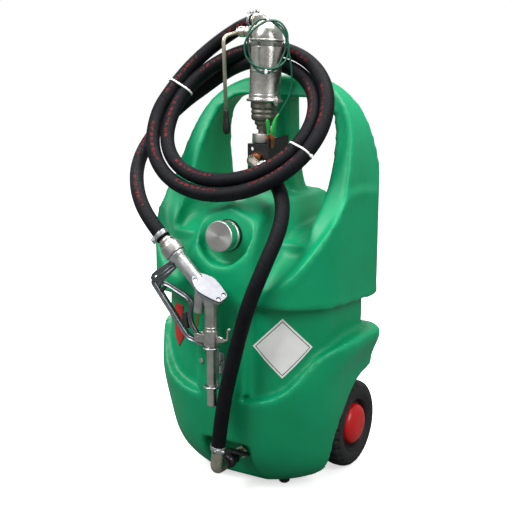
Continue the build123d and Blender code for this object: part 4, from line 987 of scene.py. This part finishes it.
nozzle = {
    "head": (-4, -185, 462),
    "lean": 46.5,  # degrees that the grip leans left
    "grip": [
        (0, 4), (17, 6), (16.4, 20), (15.2, 40), (15.2, 86),
        (16, 94), (19.5, 101), (20.5, 106), (0, 106),
    ],
    "swivel": [
        (0, 106.3), (21.4, 106.3), (22.6, 109), (22.6, 127), (21, 130), (18.4, 131), (18.4, 134.5),
        (15.5, 135.2), (15.5, 138), (17.6, 138.6), (17.6, 142), (12.6, 142.6), (12.6, 148), (0, 148),
    ],
    "coverFacing": (0.45, -0.45, 0.77),
    "coverAlong": (0.86, 0.0, -0.5),
    "coverOffset": 16,
    "coverThick": 5.4,
    "coverSide": [
        (-42, -9.5), (-42, 9.5), (-27, 19), (-8.4, 25.4), (14, 21.5),
        (42, 12.5), (42, -12.5), (14, -21.5), (-8.4, -25.4), (-27, -19),
    ],
    "screws": ((-32, 7.4), (-32, -7.4), (33.5, 7.6), (33.5, -7.6)),
    "stub": ((-22, -185, 462), 8),
    "socket": [(0, 436), (14.8, 436.5), (15.4, 442), (17.5, 447), (21, 456), (20, 466), (14, 472), (0, 473)],
    "spoutAxis": (3, -184, 0),
    "spout": [
        (0, 443), (14, 442), (13.4, 420), (13.4, 392), (14.3, 390.8), (14.3, 388.2),
        (13.6, 387), (13.6, 385.6), (16.2, 384.6), (16.2, 353), (14.6, 350.4), (10.6, 349.6),
        (10.2, 347), (10.2, 221), (9.4, 219), (7.8, 219.2), (7.6, 232), (0, 234),
    ],
    "guard": ((-86, 508), (-124, 479), (-140, 470), (-53, 362), (-13, 352.5)),
    "guardLug": [
        (-93, 521), (-130, 495.5), (-142, 485.5), (-146, 475),
        (-125, 455), (-116, 473), (-104, 482), (-80, 506),
    ],
    "guardHole": [(-137.5, 479.6), (-128.5, 486.6), (-126, 479.6), (-134.4, 471.4)],
    "trigger": ((-117, 470), (-101, 468), (-52, 447), (-41, 433), (-48.5, 416), (-44, 389), (-25, 366)),
    "pivot": (-25, -187, 366),
    # outlines by x and z
    "frontPad": [(-125, 452), (-112, 464), (-107, 460), (-118, 446)],
    "lowPad": [(-66, 412), (-57, 414), (-54, 398), (-51, 380), (-60, 384), (-66, 398)],
}
gripTurn = math.radians(nozzle["lean"])
gripWay = Vector((-math.sin(gripTurn), 0, math.cos(gripTurn)))
nozzleHead = Vector(nozzle["head"])
coverWay = Vector(nozzle["coverFacing"]).normalized()
coverWide = Vector(nozzle["coverAlong"])
coverWide = (coverWide - coverWay * coverWide.dot(coverWay)).normalized()
coverHigh = coverWay.cross(coverWide)


def iSection(half, wide, web, flange):
    # across the bar by along the pivot, with a groove in each side
    return [
        (-half, -wide), (flange - half, -wide), (flange - half + 0.5, -web),
        (half - flange - 0.5, -web), (half - flange, -wide), (half, -wide),
        (half, wide), (half - flange, wide), (half - flange - 0.5, web),
        (flange - half + 0.5, web), (flange - half, wide), (-half, wide),
    ]


def coverRing(scale, lift):
    # the cover's outline at another size, lifted off the body's middle
    middle = nozzleHead + coverWay * (nozzle["coverOffset"] + lift)
    outline = eased(nozzle["coverSide"], 7, True, 4)
    return [middle + coverWide * p[0] * scale + coverHigh * p[1] * scale for p in outline]


def upright(outlines, spot, thick, edge, facing=1):
    # a plate that stands across the caddy, its outline drawn by x and z
    return plate(outlines, spot, (1, 0, 0), (0, facing, 0), thick, edge)


def makeNozzle():
    sections = ((0.985, 0), (0.985, -3.5), (0.93, -7), (0.8, -14), (0.62, -22), (0.45, -29))
    housing = meshFrom([coverRing(scale, lift) for scale, lift in sections])
    stubStart, stubLean = nozzle["stub"]
    stubWay = Vector((-math.sin(math.radians(stubLean)), 0, -math.cos(math.radians(stubLean))))
    stubSide = [(0, -4), (12, -4), (11.4, 20), (10.6, 40), (10.6, 44), (8, 46), (0, 46)]
    stub = turned(stubSide, stubStart, stubWay, 1.5, 48)
    grip = turned(nozzle["grip"], nozzleHead, gripWay, 2, 64)
    socket = turned(nozzle["socket"], nozzle["spoutAxis"], (0, 0, 1), 2, 64)
    body = remeshed(together([housing, stub, grip, socket]), 0.0009, 6)
    replaceWith("nozzleBody", body, "caddy", "nozzle_aluminium", "nozzle_body")
    top = nozzleHead + coverWay * nozzle["coverOffset"]
    holes = [circle(4.1, x, y) for x, y in nozzle["screws"]]
    outline = [tuple(p) for p in eased(nozzle["coverSide"], 7, True, 4)]
    cover = plate([outline] + holes, top + coverWay * 0.5, coverWide, coverWay, nozzle["coverThick"], 1.0)
    replaceWith("nozzleCover", cover, "caddy", "cover_polished", "nozzle_cover")
    seal = plate([[(x * 0.985, y * 0.985) for x, y in outline]], top, coverWide, coverWay, 1.2, 0.2)
    replaceWith("coverSeal", seal, "caddy", "rubber_black")
    screws = []
    screwSide = [(0, 1), (3.4, 1), (3.4, 3.6), (1.7, 3.8), (1.7, 2.2), (0, 2.2)]
    for x, y in nozzle["screws"]:
        spot = top + coverWide * x + coverHigh * y
        screws.append(turned(screwSide, spot, coverWay, 0.3, 24))
    replaceWith("coverScrews", together(screws), "caddy", "steel_zinc", "cover_screws")
    spout = [turned(nozzle["spout"], nozzle["spoutAxis"], (0, 0, 1), 0.7, 64)]
    x, y, z = nozzle["pivot"]
    ear = [(-8, -7), (-8, 6), (-3, 9), (16, 9), (16, -9), (-4, -9)]
    for low in (-8.1, 4.1):
        spout.append(upright([ear], (x, y + low, z), 4, 0.7))
    fin = [(12, 8), (12, -8), (26, -7), (34, -3), (34, 3), (24, 5)]
    spout.append(upright([fin], (3, y - 1, 366), 6, 1.2))
    spout.append(rod(((34, -184, 366), (43, -184, 368), (44, -184, 391), (50, -184, 392)), 2.8, 5))
    replaceWith("nozzleSpout", together(spout), "caddy", "spout_aluminium", "nozzle_spout")
    pin = turned([(0, -9), (3, -9), (3, 9), (0, 9)], nozzle["pivot"], (0, 1, 0), 0.5, 24)
    replaceWith("triggerPin", pin, "caddy", "steel_zinc", "trigger_pin")
    points = [(px, y, pz) for px, pz in nozzle["guard"]]
    arm = bar(points, iSection(4.2, 6.5, 3, 1.4), (0, 1, 0), 9)
    lug = upright([nozzle["guardLug"], nozzle["guardHole"]], (0, y + 2.6, 0), 5.2, 0.9, -1)
    replaceWith("nozzleGuard", together([arm, lug]), "caddy", "guard_grey", "nozzle_guard")
    points = [(px, y, pz) for px, pz in nozzle["trigger"]]
    press = bar(points, iSection(4.2, 4, 1.6, 1.3), (0, 1, 0), 9)
    eye = turned([(3.1, -4), (6.2, -4), (6.2, 4), (3.1, 4)], nozzle["pivot"], (0, 1, 0), 0.6, 32, loop=True)
    replaceWith("nozzleTrigger", together([press, eye]), "trigger", "guard_grey", "nozzle_trigger")
    rest = turned([(0, -3.9), (2.6, -3.9), (2.6, -5.2), (0, -5.2)], (-50.5, y, 443), (0, 1, 0), 0.4, 20)
    replaceWith("triggerRivet", rest, "trigger", "steel_zinc")
    pads = [upright([nozzle["frontPad"]], (0, y + 4, 0), 8, 1.2, -1),
            upright([nozzle["lowPad"]], (0, y + 4, 0), 8, 1.4, -1)]
    replaceWith("guardPads", together(pads), "caddy", "rubber_black")
    swivel = turned(nozzle["swivel"], nozzleHead, gripWay, 0.9, 72)
    replaceWith("inletSwivel", swivel, "swivel", "spout_aluminium", "inlet_swivel")
    print("nozzle made")


makeNozzle()

# worm-drive clips on the hose ends, and the nylon ties

clamp = {
    "band": [(15.7, -5), (17, -5), (17, 5), (15.7, 5)],
    "screw": [
        (0, -9), (3, -8.6), (3, 7.5), (3.9, 7.8), (3.9, 11.4),
        (3.2, 12), (1.2, 12), (1.2, 10.6), (0, 10.6),
    ],
    "inset": 10,  # from the hose's end to the band's middle
    # each end, the way into the hose, and the way that the screw's housing faces
    "places": (
        ((-49, 82, 1003), (-26, 16.5, -5), (0.1, 0, 1)),
        ((27, -24, 700), (45, -20, -16), (0.3, -0.6, 0.8)),
        ((10, -174, 114), (16.5, -8.3, 95), (0.7, -1, 0)),
        ((-111.4, -185, 563.9), (-40, 0, 38), (-0.6, -0.7, -0.6)),
    ),
}


def oblong(low, high, half):
    return [(low, -half), (high, -half), (high, half), (low, half)]


def clampMeshes(end, way, face):
    way = Vector(way).normalized()
    face = Vector(face)
    face = (face - way * face.dot(way)).normalized()
    across = way.cross(face)
    middle = Vector(end) + way * clamp["inset"]
    band = turned(clamp["band"], middle, way, 0.4, 72, loop=True)
    seat = plate([oblong(-8.5, 8.5, 6)], middle + face * 16.4, across, face, 2.2, 0.5)
    house = plate([oblong(-6, 6, 5.4)], middle + face * 18, across, face, 5.6, 1.6)
    screw = turned(clamp["screw"], middle + face * 20, across, 0.3, 32)
    tail = plate([oblong(-15, -8, 4.4)], middle + face * 16.6, across, face, 1.1, 0.3)
    return [band, seat, house, screw, tail]


def makeClamps():
    parts = []
    for end, way, face in clamp["places"]:
        parts += clampMeshes(end, way, face)
    replaceWith("hoseClips", together(parts), "caddy", "steel_zinc", "hose_clamps")
    print("hose clips made")


tie = {
    "width": 4.4,
    "thick": 1.2,
    "hoseSpots": ((-226, 47, 853), (128, -39, 745)),
    "head": (7.5, 6, 5),
    "tail": 13,
}


def tieMeshes(near, far, along, radius):
    # a strap round two strands side by side, with its locking head and the end cut off past it
    wide = far - near
    wide = wide - along * wide.dot(along)
    far = near + wide
    wide = wide.normalized() if wide.length > 1e-3 else along.orthogonal().normalized()
    out = along.cross(wide)
    rings = []
    half = tie["width"] / 2
    for centre, start in ((far, -90), (near, 90)):
        for k in range(25):
            angle = math.radians(start + k * 7.5)
            away = wide * math.cos(angle) + out * math.sin(angle)
            low, high = centre + away * radius, centre + away * (radius + tie["thick"])
            top = along * half * 0.9  # the strap's outer face is a little narrower
            rings.append([low - along * half, low + along * half, high + top, high - top])
    strap = meshFrom(rings, loop=True)
    a, b, c = tie["head"]
    spot = far + wide * (radius + tie["thick"] * 0.4)
    head = plate([oblong(-a / 2, a / 2, b / 2)], spot, out, wide, c, 1.1)
    end = [(-1.8, 0), (1.8, 0), (1.8, tie["tail"]), (-1.8, tie["tail"])]
    tail = plate([end], spot + wide * c * 0.45 - along * 0.5, along, out, 1.1, 0.3)
    return [strap, head, tail]


def makeTies():
    parts = []
    line = hoseLine / mm
    for spot in tie["hoseSpots"]:
        near = int(np.argmin(np.linalg.norm(line - np.array(spot), axis=1)))
        along = Vector(line[near + 1] - line[near - 1]).normalized()
        gaps = np.linalg.norm(line - line[near], axis=1) + 8 * np.abs((line - line[near]) @ np.array(along))
        gaps[max(near - 60, 0):near + 60] = 1e9
        far = int(np.argmin(gaps))
        first, second = Vector(line[near]), Vector(line[far])
        middle = Vector(hose["coilMiddle"]) / mm
        if (first - middle).length > (second - middle).length:
            first, second = second, first
        parts += tieMeshes(first, second, along, 1000 * hose["radius"] + 0.25)
    view = math.radians(cable["view"])
    facing = Vector((math.sin(view), -math.cos(view), 0))
    across = Vector((math.cos(view), math.sin(view), 0))
    for rise, low, high in ((54, 0, 19.2), (-54, 2.4, 16.8)):
        middle = Vector(cable["middle"]) / mm + pumpAxis * rise + facing * (cable["clear"] / mm)
        parts += tieMeshes(middle + facing * low, middle + facing * high, across, 5)
    replaceWith("nylonTies", together(parts), "caddy", "tie_white", "zip_ties")
    print("ties made")


# spring clip on the cable: two copper-plated jaws with dipped handles

clip = {
    "middle": 29,
    "pivot": (19, 766),
    "leftJaw": [
        (17, 768), (14.6, 768), (14.4, 752), (15.2, 746.5), (16.9, 746.5), (16.9, 749),
        (16.2, 750.5), (16.9, 752), (16.2, 754), (16.9, 756), (16.3, 760),
    ],
    "rightJaw": [
        (21.2, 768), (26, 768), (26.8, 757), (25.4, 744), (22.8, 735.6), (21.2, 735.4), (21.2, 738),
        (21.9, 739.5), (21.2, 741), (21.9, 743), (21.2, 745), (21.9, 747), (21.2, 749), (21.8, 756),
    ],
    "jawWidth": 11,
    # each boot's sections: middle, then half widths; the right one runs on as the cable's sleeve
    "leftBoot": (
        (15.6, 28.5, 765, 2.6, 5), (15.5, 28.2, 767, 3.4, 5.8), (15.2, 27, 776, 3.6, 5.8),
        (15.2, 24.5, 787, 3.6, 5.4), (15.4, 22, 796, 3.2, 4.6), (15.5, 21, 799, 1.8, 3),
    ),
    "rightBoot": (
        (23.8, 29, 764, 3, 5), (24.2, 29, 766, 4.2, 6), (25.6, 29, 776, 5, 6.4), (27, 29, 787, 4.6, 5.6),
        (29, 29.9, 796, 3.5, 4.2), (32.5, 31.4, 804, 2.9, 3.3), (37, 33.2, 811.4, 2.5, 2.7),
    ),
}


def boot(stations):
    rings = []
    for x, y, z, across, deep in stations:
        rings.append([(x + across * math.cos(t), y + deep * math.sin(t), z) for t in turnsOf(24)])
    return meshFrom(rings)


def makeClip():
    wide = clip["jawWidth"]
    low = clip["middle"] + wide / 2
    left = upright([clip["leftJaw"]], (0, low, 0), wide, 0.35, -1)
    right = upright([clip["rightJaw"]], (0, low, 0), wide, 0.35, -1)
    x, z = clip["pivot"]
    hinge = (x, clip["middle"], z)
    pinSide = [(0, -5), (2.2, -5), (2.2, -4), (1.5, -4), (1.5, 4), (2.2, 4), (2.2, 5), (0, 5)]
    pin = turned(pinSide, hinge, (0, 1, 0), 0.3, 24)
    springSide = [(2.9, -2.6), (4.4, -2.6), (4.4, 2.6), (2.9, 2.6)]
    spring = turned(springSide, hinge, (0, 1, 0), 0.5, 32, loop=True)
    replaceWith("clipLeftJaw", left, "clip_jaw", "clip_copper", "clip_moving_jaw")
    replaceWith("clipRightJaw", together([right, pin, spring]), "caddy", "clip_copper", "clip_fixed_jaw")
    replaceWith("clipLeftBoot", boot(clip["leftBoot"]), "clip_jaw", "clip_green")
    replaceWith("clipRightBoot", boot(clip["rightBoot"]), "caddy", "clip_green")
    print("clip made")


makeClamps()
makeTies()
makeClip()

# wheels: block-tread tyres on rims as dark as they are, each with a domed red cap

wheel = {
    "middle": (131, 142, 100),  # inner face of the right wheel
    "tread": 26,  # blocks round each row
    "slot": 0.26,  # share of the pitch between two blocks
    "depth": 0.05,
    "middleRow": (19, 35),
    "tyre": [
        (60, 9), (62.5, 5), (66, 3), (69, 2.6), (70, 1.4), (76, 0.6), (84, 1), (85.5, 2.4), (87, 1),
        (92, 4), (96.5, 8), (99, 14), (100, 20), (100, 34), (99, 40), (96.5, 46), (92, 50), (87, 53),
        (85.5, 51.6), (84, 53), (76, 53.4), (70, 52.6), (69, 51.4), (66, 51), (62.5, 49), (60, 45),
    ],
    "rim": [
        (14, 3), (21, 3), (21, 20), (54, 20), (57, 5), (61.4, 3.4), (63, 6), (61, 9), (60.5, 44),
        (63.4, 48), (61.6, 51), (59, 50), (56.6, 45), (55, 37), (51, 34.6), (22, 34.6), (14, 34.6),
    ],
    "cap": [
        (46, 34.8), (46.6, 36), (46.4, 44), (44.8, 49), (41, 53.6), (34, 57.6),
        (24, 60.4), (12, 61.7), (0, 62), (0, 59), (40, 49), (43, 34.8),
    ],
}


def treadBumps(angle, radius, height):
    # the middle row stands half a pitch from the shoulder rows
    pitch = angle / (2 * math.pi) * wheel["tread"]
    low, high = wheel["middleRow"]
    middle = low < height < high
    spot = (pitch + (0.5 if middle else 0)) % 1
    return 1 - wheel["depth"] * (spot < wheel["slot"]) * min(max((radius - 89) / 4, 0), 1)


def makeWheels():
    x, y, z = wheel["middle"]
    for side, name in ((-1, "left"), (1, "right")):
        hub, way = (side * x, y, z), (side, 0, 0)
        body = name + "_wheel"
        tyre = turned(wheel["tyre"], hub, way, 1.2, 312, loop=True, bumps=treadBumps)
        replaceWith(name + "Tyre", tyre, body, "tyre_black", name + "_tyre")
        rim = turned(wheel["rim"], hub, way, 1.2, 96, loop=True)
        replaceWith(name + "Rim", rim, body, "tyre_black", name + "_rim")
        dome = turned(wheel["cap"], hub, way, 3, 96, loop=True)
        replaceWith(name + "HubDome", dome, body, "hub_red", name + "_hub_cap")
    print("wheels made")


makeWheels()

# floor, backdrop and soft studio light

studio = {
    "world": 0.42,
    "key": ((-1.0, -1.7, 2.7), (1.4, 1.4), 76.0),
    "fill": ((2.4, -0.9, 2.2), (1.4, 1.6), 40.0),
    "top": ((0.2, 0.3, 2.8), (1.6, 1.6), 58.0),
    "rim": ((-1.6, 1.7, 1.9), (1.2, 1.6), 26.0),
    "floor": "#f4f4f3",
    "floorBounce": "#6c706d",  # what the caddy gets back from the paper, most of which is dim
    "lift": 0.62,  # a glow for the camera alone, so that the paper ends in white
    "floorHalf": 9,
}


def makeStudio():
    world = bpy.data.worlds.new("studioWorld")
    scene.world = world
    world.use_nodes = True
    tree = world.node_tree
    back = tree.nodes["Background"]
    path = addNode(tree, "ShaderNodeLightPath")
    seen = maths(tree, "MAXIMUM", path.outputs["Is Camera Ray"], path.outputs["Is Transmission Ray"])
    strength = maths(tree, "ADD", studio["world"], maths(tree, "MULTIPLY", seen, 1 - studio["world"]))
    tree.links.new(strength, back.inputs["Strength"])
    back.inputs["Color"].default_value = (1, 1, 1, 1)
    for name in ("key", "fill", "top", "rim"):
        spot, size, power = studio[name]
        data = bpy.data.lights.new(name + "Light", "AREA")
        data.shape = "RECTANGLE"
        data.size, data.size_y = size
        data.energy = power
        lamp = bpy.data.objects.new(name + "Light", data)
        lamp.location = spot
        lamp.rotation_euler = (Vector((0, 0, 0.5)) - Vector(spot)).to_track_quat("-Z", "Y").to_euler()
        scene.collection.objects.link(lamp)
    material, tree, shader = newMaterial("studioPaper", {"Roughness": 0.9, "Specular IOR Level": 0.1})
    path = addNode(tree, "ShaderNodeLightPath")
    shader.inputs["Emission Color"].default_value = (1, 1, 1, 1)
    seen = path.outputs["Is Camera Ray"]
    tree.links.new(mixed(tree, seen, studio["floorBounce"], studio["floor"]), shader.inputs["Base Color"])
    lift = maths(tree, "MULTIPLY", seen, studio["lift"])
    tree.links.new(lift, shader.inputs["Emission Strength"])
    mesh = bpy.data.meshes.new("studioFloor")
    half = studio["floorHalf"]
    corners = [(-half, -half, 0), (half, -half, 0), (half, half, 0), (-half, half, 0)]
    mesh.from_pydata(corners, [], [(0, 1, 2, 3)])
    mesh.materials.append(material)
    floor = bpy.data.objects.new("studioFloor", mesh)
    scene.collection.objects.link(floor)


makeStudio()
scene.view_settings.view_transform = "Standard"
print("studio lit")
